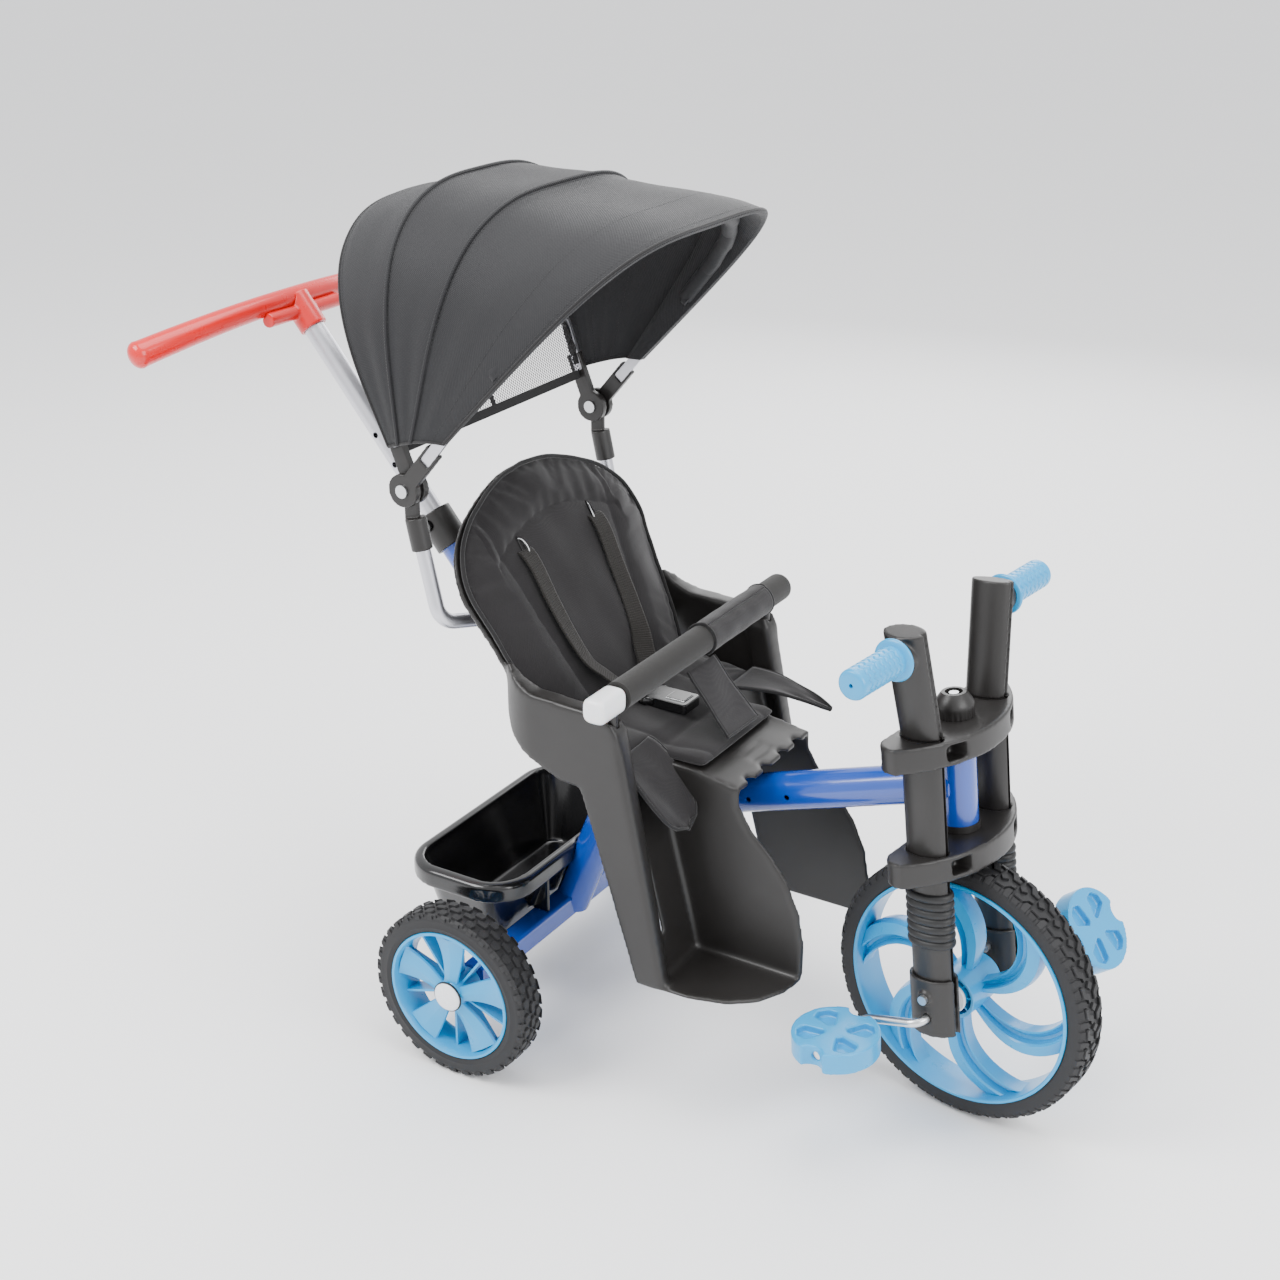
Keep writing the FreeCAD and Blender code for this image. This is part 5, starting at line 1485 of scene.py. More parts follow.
# ------------------------------------------------------------------ seat
@dataclass
class Seat:
    """The moulded bucket and its one-piece padded liner."""

    shop: Shop
    lean: float = math.radians(28.4)
    outline: tuple[tuple[float, float], ...] = ((-14, 128), (60, 148), (142, 161), (178, 168), (213, 160),
                                                (244, 132), (266, 90), (281, 45), (286, 0))
    arm_inner: float = 153 * MM
    horn_half: float = 83 * MM
    wall_x: float = 164.5 * MM

    def __post_init__(self) -> None:
        """Place the back's plane from the rear axle."""
        self.axle = self.shop.pivot("left_wheel_spin").x
        self.foot = Vector((self.axle + 83.5 * MM, 0, 385 * MM))
        self.rise = Vector((-math.sin(self.lean), 0, math.cos(self.lean)))
        self.out = Vector((math.cos(self.lean), 0, math.sin(self.lean)))

    def on_back(self, along: float, out: float, y: float) -> Vector:
        """A point near the back: along its slope, out from the liner's face and across, in millimetres."""
        return self.foot + self.rise * (along * MM) + self.out * (out * MM) + ACROSS * (y * MM)

    def rim_point(self, angle: float, inset: float) -> tuple[float, float]:
        """The back's outline at a bearing from its middle, drawn in by an inset.

        Args:
            angle: the bearing, from straight across towards the top.
            inset: how far inside the outline.

        Returns:
            The place along the slope and across, in millimetres.
        """
        centre = 140.0
        corners = curve_through([Vector((half, along - centre, 0)) for along, half in self.outline], 6)
        bottom = [Vector((share * 128.0, -14 - centre - 10 * (1 - share ** 2), 0)) for share in (0.0, 0.25, 0.5, 0.75)]
        ring = bottom + corners
        folded = angle if math.cos(angle) >= 0 else math.pi - angle
        folded = math.atan2(math.sin(folded), math.cos(folded))
        best = ring[-1]
        for low, high in zip(ring, ring[1:]):
            first = math.atan2(low.y, low.x)
            second = math.atan2(high.y, high.x)
            if first <= folded <= second:
                share = (folded - first) / max(1e-6, second - first)
                best = low.lerp(high, share)
                break
        else:
            best = ring[0] if folded < 0 else ring[-1]
        reach = max(0.1, best.length - inset)
        sign = 1.0 if math.cos(angle) >= 0 else -1.0
        return centre + reach * math.sin(folded), sign * reach * math.cos(folded)

    def build(self) -> None:
        """Make the shell, the liner's parts, its binding, its flaps and the straps' slots."""
        shell = moulded("SeatBucket", [self.shop.nodes["seat_shell"]], 2.7 * MM, 12, 0.32, self.rails())
        self.shop.fit(shell, "frame", "black_plastic", "seat_shell")
        back = self.back_pad()
        seat = self.cushion()
        self.back_surface = back
        self.seat_surface = seat
        self.edge_binding()
        self.flaps()
        self.slots()

    def rails(self) -> list[bpy.types.Object]:
        """The broad posts that run from the arms down the outer front edges of the leg wells."""
        made = []
        for side in (-1.0, 1.0):
            rings = []
            for number in range(13):
                share = number / 12
                z = (432 - 284 * share) * MM
                front = (176 + 0.203 * (424 - z / MM)) * MM
                outer = 176.0
                inner = 149.5 + 7.0 * share
                depth = (30 - 4 * share) * MM
                rings.append([Vector((self.axle + x, side * y * MM, z)) for x, y in
                              ((front - depth, outer), (front - 5 * MM, outer), (front, outer - 5), (front, inner + 4),
                               (front - 4 * MM, inner), (front - depth, inner))])
            made.append(Draft().loft(rings).piece(f"rail_{side:+.0f}"))
        return made

    def back_pad(self) -> bpy.types.Object:
        """The back of the liner: blown up like a real pad, then quilted along its seams."""
        rings = []
        steps = 96
        for share, out, inset in ((0.03, -2.5, 0.5), (0.4, -2.5, 0.5), (0.75, -2.5, 0.5), (0.93, -2.8, 0.5),
                                  (0.985, -4.5, 0.5), (1.0, -8.0, 0.5), (0.985, -12.6, 0.5), (0.93, -15.0, 0.5),
                                  (0.5, -15.0, 0.5), (0.03, -15.0, 0.5)):
            ring = []
            for number in range(steps):
                along, y = self.rim_point(math.tau * number / steps, inset)
                ring.append(self.on_back(140 + (along - 140) * share, out, y * share))
            rings.append(ring)
        obj = Draft().loft(rings).piece("LinerBack")
        remesh(obj, 4.2 * MM)
        blow_up(obj, 4.0, 6.0 * MM, lambda point: self.out_of(point) < -9.5)
        sub = obj.modifiers.new("fine", "SUBSURF")
        sub.levels = 1
        sub.render_levels = 1
        settle(obj)
        self.quilt(obj)
        obj.data.polygons.foreach_set("use_smooth", [True] * len(obj.data.polygons))
        self.shop.fit(obj, "frame", "pad_fabric", "seat_pad")
        return obj

    def out_of(self, point: Vector) -> float:
        """How far a point stands out of the liner's face, in millimetres."""
        return (point - self.foot).dot(self.out) / MM

    def seam_depth(self, along: float, y: float) -> float:
        """How deep the quilting is at a place on the back.

        Args:
            along: millimetres up the slope.
            y: millimetres across.

        Returns:
            A signed height in millimetres: below zero in a seam, above zero between seams.
        """
        side = abs(y)
        bolster = side - (62.0 + 46.0 * max(0.0, min(1.0, along / 215.0)))
        band_low = 228.0 - 30.0 * (side / 112.0) ** 2
        band = along - band_low
        height = 0.0
        near_bolster = abs(bolster)
        height += 2.4 * (1 - math.exp(-near_bolster / 9.0)) - 2.4
        if side < 118:
            near_band = abs(band)
            height += 2.8 * (1 - math.exp(-near_band / 8.0)) - 2.8
            if band > 0:
                height += 3.4 * math.sin(math.pi * min(1.0, band / 52.0))
                height += 0.55 * math.sin(y / 3.2 + 0.7 * math.sin(y / 17.0)) * math.exp(-band / 16.0)
        if bolster > 0:
            height += 2.6 * math.sin(math.pi * min(1.0, bolster / 62.0))
        height += 0.9 * hash_wave(along / 34.0, y / 29.0)
        gather = math.exp(-near_bolster / 13.0) * 0.35 * math.sin(along / 4.3 + math.sin(along / 19.0))
        return height + gather

    def quilt(self, obj: bpy.types.Object) -> None:
        """Press the seams into the pad's face."""
        for vertex in obj.data.vertices:
            out = self.out_of(vertex.co)
            if out < -9.0:
                continue
            along = (vertex.co - self.foot).dot(self.rise) / MM
            share = min(1.0, (out + 9.0) / 5.0)
            vertex.co += self.out * (self.seam_depth(along, vertex.co.y / MM) * share * MM)

    def half_seat(self, x: float) -> float:
        """Half the cushion's width at a distance ahead of the rear axle."""
        share = max(0.0, min(1.0, (x - (self.wall_x - 13 * MM)) / (22 * MM)))
        ease = share * share * (3 - 2 * share)
        return (self.arm_inner - 2.5 * MM) + (self.horn_half - 1 * MM - self.arm_inner) * ease

    def cushion(self) -> bpy.types.Object:
        """The seat cushion: crowned, dished in the middle, narrow over the horn."""
        rings = []
        count = 30
        for number in range(count + 1):
            share = number / count
            x = (72 + 152 * share) * MM
            pan = (372.5 - 10 * min(1.0, share * 1.6)) * MM
            top = pan + (13.5 + 5 * (1 - share) ** 3) * MM
            half = self.half_seat(x)
            nose = 1.0 if share < 0.9 else math.sqrt(max(0.02, 1 - ((share - 0.9) / 0.1) ** 2))
            ring = []
            for turn in range(48):
                angle = math.tau * turn / 48
                a = math.copysign(abs(math.cos(angle)) ** 0.28, math.cos(angle))
                b = math.copysign(abs(math.sin(angle)) ** 0.5, math.sin(angle))
                middle = (top + pan) / 2
                ring.append(Vector((self.axle + x, half * a * (0.97 + 0.03 * nose),
                                    middle + (top - pan) / 2 * b * nose)))
            rings.append(ring)
        obj = Draft().loft(rings).piece("LinerSeat")
        remesh(obj, 4.2 * MM)
        blow_up(obj, 3.5, 5.0 * MM, lambda point: point.z < 0.3735)
        sub = obj.modifiers.new("fine", "SUBSURF")
        sub.levels = 1
        sub.render_levels = 1
        settle(obj)
        for vertex in obj.data.vertices:
            x = (vertex.co.x - self.axle) / MM
            y = vertex.co.y / MM
            if vertex.co.z < 0.370:
                continue
            seam = abs(abs(y) - (62 + 10 * math.sin(x / 60.0)))
            sink = 1.7 * math.exp(-seam / 6.0) + 1.2 * math.exp(-((x - 160) / 7.0) ** 2) * (1 if abs(y) > 80 else 0)
            vertex.co.z += (0.8 * hash_wave(x / 30.0, y / 26.0) - sink) * MM
        obj.data.polygons.foreach_set("use_smooth", [True] * len(obj.data.polygons))
        self.shop.fit(obj, "frame", "pad_fabric")
        return obj

    def edge_binding(self) -> None:
        """The bound edge sewn round the back."""
        path = []
        for number in range(150):
            angle = math.radians(-62) + math.radians(304) * number / 149
            along, y = self.rim_point(angle, 1.8)
            path.append(self.on_back(along, -6.6 + 0.3 * math.sin(number * 0.9), y))
        obj = Draft().tube(path, 2.6 * MM, 8).piece("LinerBinding")
        obj.data.materials.append(self.shop.finishes.binding)
        self.shop.fit(obj, "frame", "pad_fabric", own=True)

    def flaps(self) -> None:
        """The two tongues that lie over the tops of the leg wells, with bound edges."""
        for side, tip, lift in ((-1.0, (232.0, 110.0, 300.0), 0.0), (1.0, (268.0, 126.0, 362.0), 1.0)):
            rows = []
            edge_low: list[Vector] = []
            edge_high: list[Vector] = []
            steps = 22
            for number in range(steps + 1):
                share = number / steps
                centre_y = 114.0 + (tip[1] - 114.0) * share
                if lift:
                    half = 31.0 * (1 - share) ** 0.8 + 1.5
                    x = 158 + (tip[0] - 158) * share
                    z = 379 - (379 - tip[2]) * share ** 1.4 + 5 * math.sin(math.pi * share)
                else:
                    half = 36.0 * math.sqrt(max(0.0, 1 - max(0.0, (share - 0.5) / 0.5) ** 2.4)) + 1.2
                    fall = min(1.0, share * 1.2)
                    x = 152 + 24 * math.sin(fall * math.pi / 2) + 46 * share ** 1.8
                    z = 380.5 - 3 * share - 70 * (1 - math.cos(share * math.pi / 2)) ** 0.95
                row = []
                for place in range(15):
                    across = place / 14 * 2 - 1
                    cup = (3.5 - 2 * lift) * across ** 2
                    wave = 1.4 * hash_wave(share * 5 + side, across * 2.0) * share
                    row.append(Vector((self.axle + (x + cup * 0.4 + wave) * MM, side * (centre_y + across * half) * MM,
                                       (z + cup + wave) * MM)))
                rows.append(row)
                edge_low.append(row[0])
                edge_high.append(row[-1])
            cloth = ClothSheet(rows)
            label = "Far" if side > 0 else "Near"
            obj = cloth.piece(f"Flap{label}", 3.2 * MM)
            self.shop.fit(obj, "frame", "pad_fabric")
            border = edge_low + rows[-1][1:-1] + list(reversed(edge_high))
            trim = Draft().tube(border, 2.0 * MM, 8).piece(f"Flap{label}Binding")
            trim.data.materials.append(self.shop.finishes.binding)
            self.shop.fit(trim, "frame", "pad_fabric", own=True)
            declare(obj, cloth)

    def slots(self) -> None:
        """Corded slots in the back with the thin steel edge of each ring."""
        loops = Draft()
        rings = Draft()
        for side in (-1.0, 1.0):
            path = []
            for number in range(28):
                turn = math.tau * number / 28
                along = 200 + 15.0 * math.sin(turn)
                y = side * (68 + 3.4 * math.cos(turn))
                path.append(self.surface(along, y, 0.4))
            loops.tube(path, 1.0 * MM, 6, looped=True)
            wire = [self.surface(200 + a, side * (67 + b), c) for a, b, c in
                    ((13.0, 1.0, 0.2), (10.0, -1.5, 2.0), (2.0, -3.4, 3.0), (-6.0, -3.0, 2.4), (-11.0, -1.0, 1.0))]
            rings.tube(curve_through(wire, 5), 0.9 * MM, 8)
        cord = loops.piece("SlotCording")
        cord.data.materials.append(self.shop.finishes.binding)
        self.shop.fit(cord, "frame", "pad_fabric", own=True)
        wire_piece = rings.piece("SlotRings")
        self.shop.fit(wire_piece, "frame", "zinc_steel")

    def surface(self, along: float, y: float, lift: float) -> Vector:
        """The point on the quilted back at a place, lifted off it in millimetres."""
        start = self.on_back(along, 40, y)
        hit = self.tree().ray_cast(start, -self.out, 0.08)
        base = hit[0] if hit[0] is not None else self.on_back(along, 0, y)
        return base + self.out * (lift * MM)

    def tree(self) -> BVHTree:
        """A search tree of the finished back."""
        if not hasattr(self, "_tree"):
            mesh = self.back_surface.data
            self._tree = BVHTree.FromPolygons([v.co.copy() for v in mesh.vertices],
                                              [tuple(p.vertices) for p in mesh.polygons])
        return self._tree


def remesh(obj: bpy.types.Object, voxel: float) -> None:
    """Even cells over a closed form."""
    cells = obj.modifiers.new("cells", "REMESH")
    cells.mode = "VOXEL"
    cells.voxel_size = voxel
    soften = obj.modifiers.new("soften", "SMOOTH")
    soften.iterations = 3
    settle(obj)


def blow_up(obj: bpy.types.Object, pressure: float, cap: float, held: Callable[[Vector], bool]) -> None:
    """Inflate a closed cloth form for twenty frames and keep how far each point moved within a cap.

    Args:
        obj: the form; its shape changes.
        pressure: the cloth's pressure.
        cap: the furthest that a point may move.
        held: whether a point stays where it is.
    """
    scene = bpy.context.scene
    before = [vertex.co.copy() for vertex in obj.data.vertices]
    pins = obj.vertex_groups.new(name="pins")
    pins.add([v.index for v in obj.data.vertices if held(v.co)], 1.0, "REPLACE")
    cloth = obj.modifiers.new("cloth", "CLOTH")
    cloth.settings.use_pressure = True
    cloth.settings.uniform_pressure_force = pressure
    cloth.settings.effector_weights.gravity = 0.0
    cloth.settings.vertex_group_mass = "pins"
    cloth.settings.quality = 4
    cloth.point_cache.frame_start = 1
    cloth.point_cache.frame_end = 20
    for number in range(1, 21):
        scene.frame_set(number)
    graph = bpy.context.evaluated_depsgraph_get()
    blown = obj.evaluated_get(graph).to_mesh()
    after = [vertex.co.copy() for vertex in blown.vertices]
    obj.evaluated_get(graph).to_mesh_clear()
    obj.modifiers.remove(cloth)
    obj.vertex_groups.remove(pins)
    scene.frame_set(1)
    for vertex, old, new in zip(obj.data.vertices, before, after):
        move = new - old
        if move.length > cap:
            move *= cap / move.length
        vertex.co = old + move


# ------------------------------------------------------------------ harness
@dataclass
class Harness:
    """Shoulder straps and the buckle that they meet in."""

    shop: Shop
    seat: Seat
    half_width: float = 12 * MM

    def build(self) -> None:
        """Make both straps and the buckle."""
        low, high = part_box("harness_buckle")
        buckle = (low + high) / 2
        draft_parts = []
        for side in (-1.0, 1.0):
            draft_parts.append(self.strap(side, buckle))
        bpy.context.view_layer.update()
        merged = merge(draft_parts, "ShoulderStraps")
        self.shop.fit(merged, "frame", "webbing", "shoulder_straps")
        body = moulded("BuckleHousing", [self.shop.nodes["harness_buckle"]], 0.8 * MM, 4, 0.7)
        self.shop.fit(body, "frame", "black_gloss", "harness_buckle")
        self.shop.finishes.dress(self.shop.nodes["buckle_button"], "black_gloss")
        self.prongs(buckle)

    def strap(self, side: float, buckle: Vector) -> bpy.types.Object:
        """One strap: out of its slot, down over the back and into the buckle."""
        seat = self.seat
        marks = [seat.on_back(200, -5.5, side * 68), seat.surface(196, side * 68, 2.2),
                 seat.surface(176, side * 67, 5.2), seat.surface(140, side * 65, 4.6),
                 seat.surface(100, side * 61, 4.6), seat.surface(62, side * 53, 6.0),
                 seat.surface(38, side * 40, 10.0),
                 buckle + Vector((-34 * MM, side * 19 * MM, 5.5 * MM)),
                 buckle + Vector((-27.3 * MM, side * 13.5 * MM, 3.2 * MM))]
        line = curve_through(marks, 9)
        rows = []
        count = len(line)
        for number, point in enumerate(line):
            ahead = (line[min(count - 1, number + 1)] - line[max(0, number - 1)]).normalized()
            share = number / (count - 1)
            face = (seat.out * (1 - share) + UP * share).normalized()
            over = ahead.cross(face).normalized() * -1.0
            if over.y < 0:
                over = -over
            roll = side * 0.10 * math.sin(math.pi * share)
            over = (Matrix.Rotation(roll, 3, ahead) @ over)
            narrow = 1.0 if share < 0.86 else 1.0 - 0.34 * (share - 0.86) / 0.14
            rows.append([point + over * (self.half_width * narrow * a) for a in
                         (-1, -0.8, -0.6, -0.4, -0.2, 0, 0.2, 0.4, 0.6, 0.8, 1)])
        return ClothSheet(rows).piece(f"strap_{side:+.0f}", 1.7 * MM)

    def prongs(self, buckle: Vector) -> None:
        """The two side plates that click into the buckle, and the bezel round its button."""
        draft = Draft()
        for side in (-1.0, 1.0):
            rows = []
            for x, half, rise in ((-30.5, 8.5, 2.0), (-29, 11.0, 3.6), (-23, 11.0, 4.6), (-20, 8.0, 4.2),
                                  (-14, 6.0, 4.0)):
                rows.append([buckle + Vector((x * MM, (side * 12.5 + a * half) * MM, (b * rise + 1) * MM)) for a, b in
                             ((-1, -0.6), (-0.8, -1), (0.8, -1), (1, -0.6), (1, 0.6), (0.8, 1), (-0.8, 1), (-1, 0.6))])
            draft.loft(rows)
        obj = draft.piece("BuckleProngs")
        self.shop.fit(obj, "frame", "black_gloss")
        low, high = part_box("buckle_button")
        top = high.z
        frame_rows = []
        for grow, lift in ((0.9, -1.4), (0.9, 0.2), (0.7, 0.4), (0.35, 0.2), (0.35, -1.4)):
            frame_rows.append([Vector((x, y, top + lift * MM - 0.9 * MM)) for x, y in
                               ((low.x - grow * MM, low.y - grow * MM), (high.x + grow * MM, low.y - grow * MM),
                                (high.x + grow * MM, high.y + grow * MM), (low.x - grow * MM, high.y + grow * MM))])
        bezel = Draft().loft(frame_rows, caps=False).piece("ButtonBezel", smooth=False)
        self.shop.fit(bezel, "frame", "zinc_steel")


def merge(parts: Sequence[bpy.types.Object], name: str) -> bpy.types.Object:
    """One object from several, keeping their cloth maps."""
    for obj in bpy.context.view_layer.objects:
        obj.select_set(False)
    for part in parts:
        part.select_set(True)
    bpy.context.view_layer.objects.active = parts[0]
    bpy.ops.object.join()
    parts[0].name = name
    parts[0].data.name = name
    return parts[0]


# ------------------------------------------------------------------ safety bar
@dataclass
class SafetyBar:
    """The foam-covered bar, its white end, fabric sleeve and the flap under it."""

    shop: Shop
    seat: Seat

    def build(self) -> None:
        """Make the foam, ends, sleeve and flap."""
        low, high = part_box("bar_foam")
        self.centre_z = (low.z + high.z) / 2
        self.centre_x = (low.x + high.x) / 2
        self.radius = (high.x - low.x) / 2
        self.shop.finishes.dress(self.shop.nodes["safety_bar"], "black_plastic")
        place = bench(Vector((self.centre_x, 0, self.centre_z)), ACROSS, UP)
        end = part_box("bar_ends")[1].y
        start = low.y
        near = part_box("bar_ends")[0].y
        radius = self.radius
        nose = [(radius - 6.5 * MM + 6.5 * MM * math.cos(t), end - 6.5 * MM + 6.5 * MM * math.sin(t))
                for t in (math.pi / 2 * n / 6 for n in range(7))]
        profile = [(11.1 * MM, start), (radius - 1.2 * MM, start), (radius, start + 1.2 * MM)] + nose
        profile += [(0.2 * MM, end), (0.2 * MM, end - 9.5 * MM), (11.1 * MM, end - 9.6 * MM)]
        foam = lathe(Draft(), profile, place, 56).piece("BarFoam")
        self.shop.fit(foam, "bar", "foam", "bar_foam")
        white = []
        steps = 24
        length = 46 * MM
        corner = 6 * MM
        for number in range(steps + 1):
            share = 0.5 - 0.5 * math.cos(math.pi * number / steps)
            edge = min(share, 1 - share) * length
            inside = corner - corner * math.sqrt(max(0.0, 1 - max(0.0, 1 - edge / corner) ** 2))
            half = 13.5 * MM - inside
            white.append([Vector((self.centre_x + math.copysign(abs(math.cos(t)) ** 0.6, math.cos(t)) * half,
                                  near + length * share,
                                  self.centre_z + math.copysign(abs(math.sin(t)) ** 0.6, math.sin(t)) * half))
                          for t in (math.tau * n / 48 for n in range(48))])
        plug = Draft().loft(white).piece("BarEnd")
        self.shop.fit(plug, "bar", "white_plastic", "bar_ends")
        self.sleeve()
        self.flap()

    def sleeve(self) -> None:
        """The fabric sleeve wrapped round the foam, with piped ends."""
        low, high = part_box("bar_sleeve")
        rows = []
        edges: list[list[Vector]] = []
        for number in range(41):
            share = number / 40
            y = low.y + (high.y - low.y) * share
            row = []
            for turn in range(61):
                angle = math.tau * turn / 60 + math.pi * 0.62
                loose = 1.1 * math.exp(-((turn / 60 - 0.98) / 0.05) ** 2)
                radius = self.radius + (1.5 + loose + 0.35 * hash_wave(share * 9, turn / 7)) * MM
                row.append(Vector((self.centre_x - radius * math.cos(angle), y,
                                   self.centre_z + radius * math.sin(angle))))
            rows.append(row)
            if number in (0, 40):
                edges.append([Vector((p.x, p.y, p.z)) for p in row[:-1]])
        cloth = ClothSheet(rows)
        obj = cloth.piece("BarSleeve", 1.6 * MM)
        self.shop.fit(obj, "bar", "pad_fabric", "bar_sleeve")
        draft = Draft()
        for edge in edges:
            draft.tube(edge, 1.7 * MM, 8, looped=True)
        trim = draft.piece("BarSleeveBinding")
        trim.data.materials.append(self.shop.finishes.binding)
        self.shop.fit(trim, "bar", "pad_fabric", own=True)
        declare(obj, cloth)

    def flap(self) -> None:
        """The fabric panel from the sleeve to the front of the cushion."""
        low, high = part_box("crotch_strap")
        rows = []
        steps = 24
        for number in range(steps + 1):
            share = number / steps
            half = (28 + 4 * share) * MM
            centre = 0.0
            x = low.x + (high.x - low.x) * (share ** 0.92)
            z = high.z + (low.z + 1.5 * MM - high.z) * share - 3.0 * MM * math.sin(math.pi * share)
            rows.append([Vector((x + 1.2 * MM * hash_wave(share * 4, a), centre + half * a, z)) for a in
                         (n / 7 - 1 for n in range(15))])
        cloth = ClothSheet(rows)
        obj = cloth.piece("BarFlap", 1.6 * MM)
        self.shop.fit(obj, "bar", "pad_fabric", "crotch_strap")
        border = [row[0] for row in rows] + rows[-1][1:-1] + [row[-1] for row in reversed(rows)]
        trim = Draft().tube(border, 1.5 * MM, 8).piece("BarFlapBinding")
        trim.data.materials.append(self.shop.finishes.binding)
        self.shop.fit(trim, "bar", "pad_fabric", own=True)
        declare(obj, cloth)


# ------------------------------------------------------------------ hood
@dataclass
class Hood:
    """The folding hood: one sheet over two bows, with piped ribs, a hemmed brim and a mesh back."""

    shop: Shop
    rear: float = -25.0
    front: float = 43.5
    ribs: tuple[float, float] = (-5.0, 15.0)
    bows: tuple[float, float] = (-22.0, 40.0)

    def __post_init__(self) -> None:
        """Read the hub and the hood's size from the frame."""
        self.hub = self.shop.pivot("hood_tilt")
        self.half_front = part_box("hood_front_panel")[1].y
        self.half_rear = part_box("hood_rear_panel")[1].y + 3 * MM

    def build(self) -> None:
        """Make the sheet, its trims, the window, the discs and the rivets."""
        self.sheet()
        self.window()
        self.channel()
        for name, body in (("rear_discs", "hood_rear"), ("front_discs", "hood_front")):
            obj = moulded("Moulded_" + name, [self.shop.nodes[name]], 1.0 * MM, 5, 0.6)
            self.shop.fit(obj, body, "black_plastic", name)

    def channel(self) -> None:
        """The cloth channel that the front bow is sewn into, which leaves its ends bare."""
        spots = [vertex.co for vertex in self.shop.nodes["front_bow"].data.vertices]
        base = min(spot.z for spot in spots) + 96 * MM
        path = []
        for number in range(45):
            turn = math.pi * (number / 44)
            near = [spot for spot in spots if spot.z > base
                    and abs(math.atan2(spot.z - base, spot.y) - turn) < math.radians(5.5)]
            if near:
                path.append(sum(near, Vector()) / len(near))
        obj = Draft().tube(path, 8.6 * MM, 14).piece("BowChannel")
        self.shop.fit(obj, "hood_front", "hood_fabric")

    def share(self, degrees: float) -> float:
        """How far towards the front an angle is."""
        return (degrees - self.rear) / (self.front - self.rear)

    def crown(self, degrees: float) -> float:
        """The crown's height over the hub axis."""
        share = self.share(degrees)
        return (290 + 13 * min(1.0, share / 0.65) + 68 * max(0.0, (share - 0.62) / 0.38) ** 1.25) * MM

    def sag(self, degrees: float) -> float:
        """How far the cloth sags between two bows or ribs, as a share of 1."""
        marks = (self.bows[0], self.ribs[0], self.ribs[1], self.bows[1])
        for low, high in zip(marks, marks[1:]):
            if low < degrees < high:
                return math.sin(math.pi * (degrees - low) / (high - low))
        return 0.0

    def spot(self, degrees: float, arch: float, lift: float = 0.0) -> Vector:
        """A point of the hood.

        Args:
            degrees: the lean of its arch about the hub.
            arch: where it is along the arch, from 0 at the right foot to 1 at the left.
            lift: how far off the cloth, outwards.

        Returns:
            The point.
        """
        share = self.share(degrees)
        half = self.half_rear + (self.half_front - self.half_rear) * min(1.0, max(0.0, share) * 1.2)
        crown = self.crown(degrees)
        power = 2.5 + 1.3 * share
        spring = 100 * MM
        foot = (47 + 36 * max(0.0, share) ** 2.5) * MM
        side = 1.0 if arch > 0.5 else -1.0
        climb = 1.0 - abs(arch * 2 - 1)
        leg = 0.14
        if climb < leg:
            y = half
            z = foot + (spring - foot) * climb / leg
            angle = 0.0
        else:
            angle = math.pi / 2 * (climb - leg) / (1 - leg)
            y = half * max(0.0, math.cos(angle)) ** (2 / power)
            z = spring + (crown - spring) * max(0.0, math.sin(angle)) ** (2 / power)
        loose = self.sag(degrees)
        top = max(0.0, (climb - 0.2) / 0.8)
        sink = (5.5 * top + 2.0 * climb) * loose * MM
        ripple = hash_wave(degrees / 6.0 + 2 * arch, climb * 7.0)
        crease = 1.1 * MM * ripple * min(1.0, climb * 3) * (0.35 + 0.65 * loose)
        pull = 0.7 * MM * loose * math.sin(degrees * 0.5 + 5 * climb) * math.exp(-((climb - 0.2) / 0.16) ** 2)
        off = lift - sink + crease + pull
        norm = Vector((y * side / half ** 2, (z - spring * 0.6) / crown ** 2, 0))
        norm.normalize()
        y = side * y + norm.x * off
        z = z + norm.y * off
        lean = math.radians(degrees)
        return self.hub + Vector((z * math.sin(lean), y, z * math.cos(lean)))

    def arch_at(self, degrees: float, lift: float, count: int = 96) -> list[Vector]:
        """The line of an arch over the cloth."""
        return [self.spot(degrees, number / (count - 1), lift) for number in range(count)]

    def sheet(self) -> None:
        """The cloth itself, in one piece, with its piping, brim and stitches."""
        steps = 84
        rows = []
        for number in range(steps + 1):
            degrees = self.rear + (self.front - self.rear) * number / steps
            rows.append([self.spot(degrees, arch / 110) for arch in range(111)])
        for degrees, lift in ((0.35, -2.0), (0.45, -5.0), (0.1, -7.6), (-2.0, -8.6), (-4.5, -8.8), (-7.0, -8.6),
                              (-9.5, -8.4)):
            rows.append([self.spot(self.front + degrees, arch / 110, lift * MM) for arch in range(111)])
        cloth = ClothSheet(rows)
        obj = cloth.piece("HoodCloth", 1.4 * MM)
        self.shop.fit(obj, None, "hood_fabric", "hood_rear_panel", "hood_middle_panel", "hood_front_panel")
        trims = [self.piping(), self.brim()]
        for part in (obj, *trims):
            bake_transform(part)
        declare(obj, cloth)

    def piping(self) -> bpy.types.Object:
        """The two piped ribs over the hood."""
        draft = Draft()
        for degrees in self.ribs:
            draft.tube(self.arch_at(degrees, 1.4 * MM), 2.3 * MM, 8)
        obj = draft.piece("HoodPiping")
        self.cloth_map(obj)
        self.shop.fit(obj, None, "hood_fabric")
        return obj

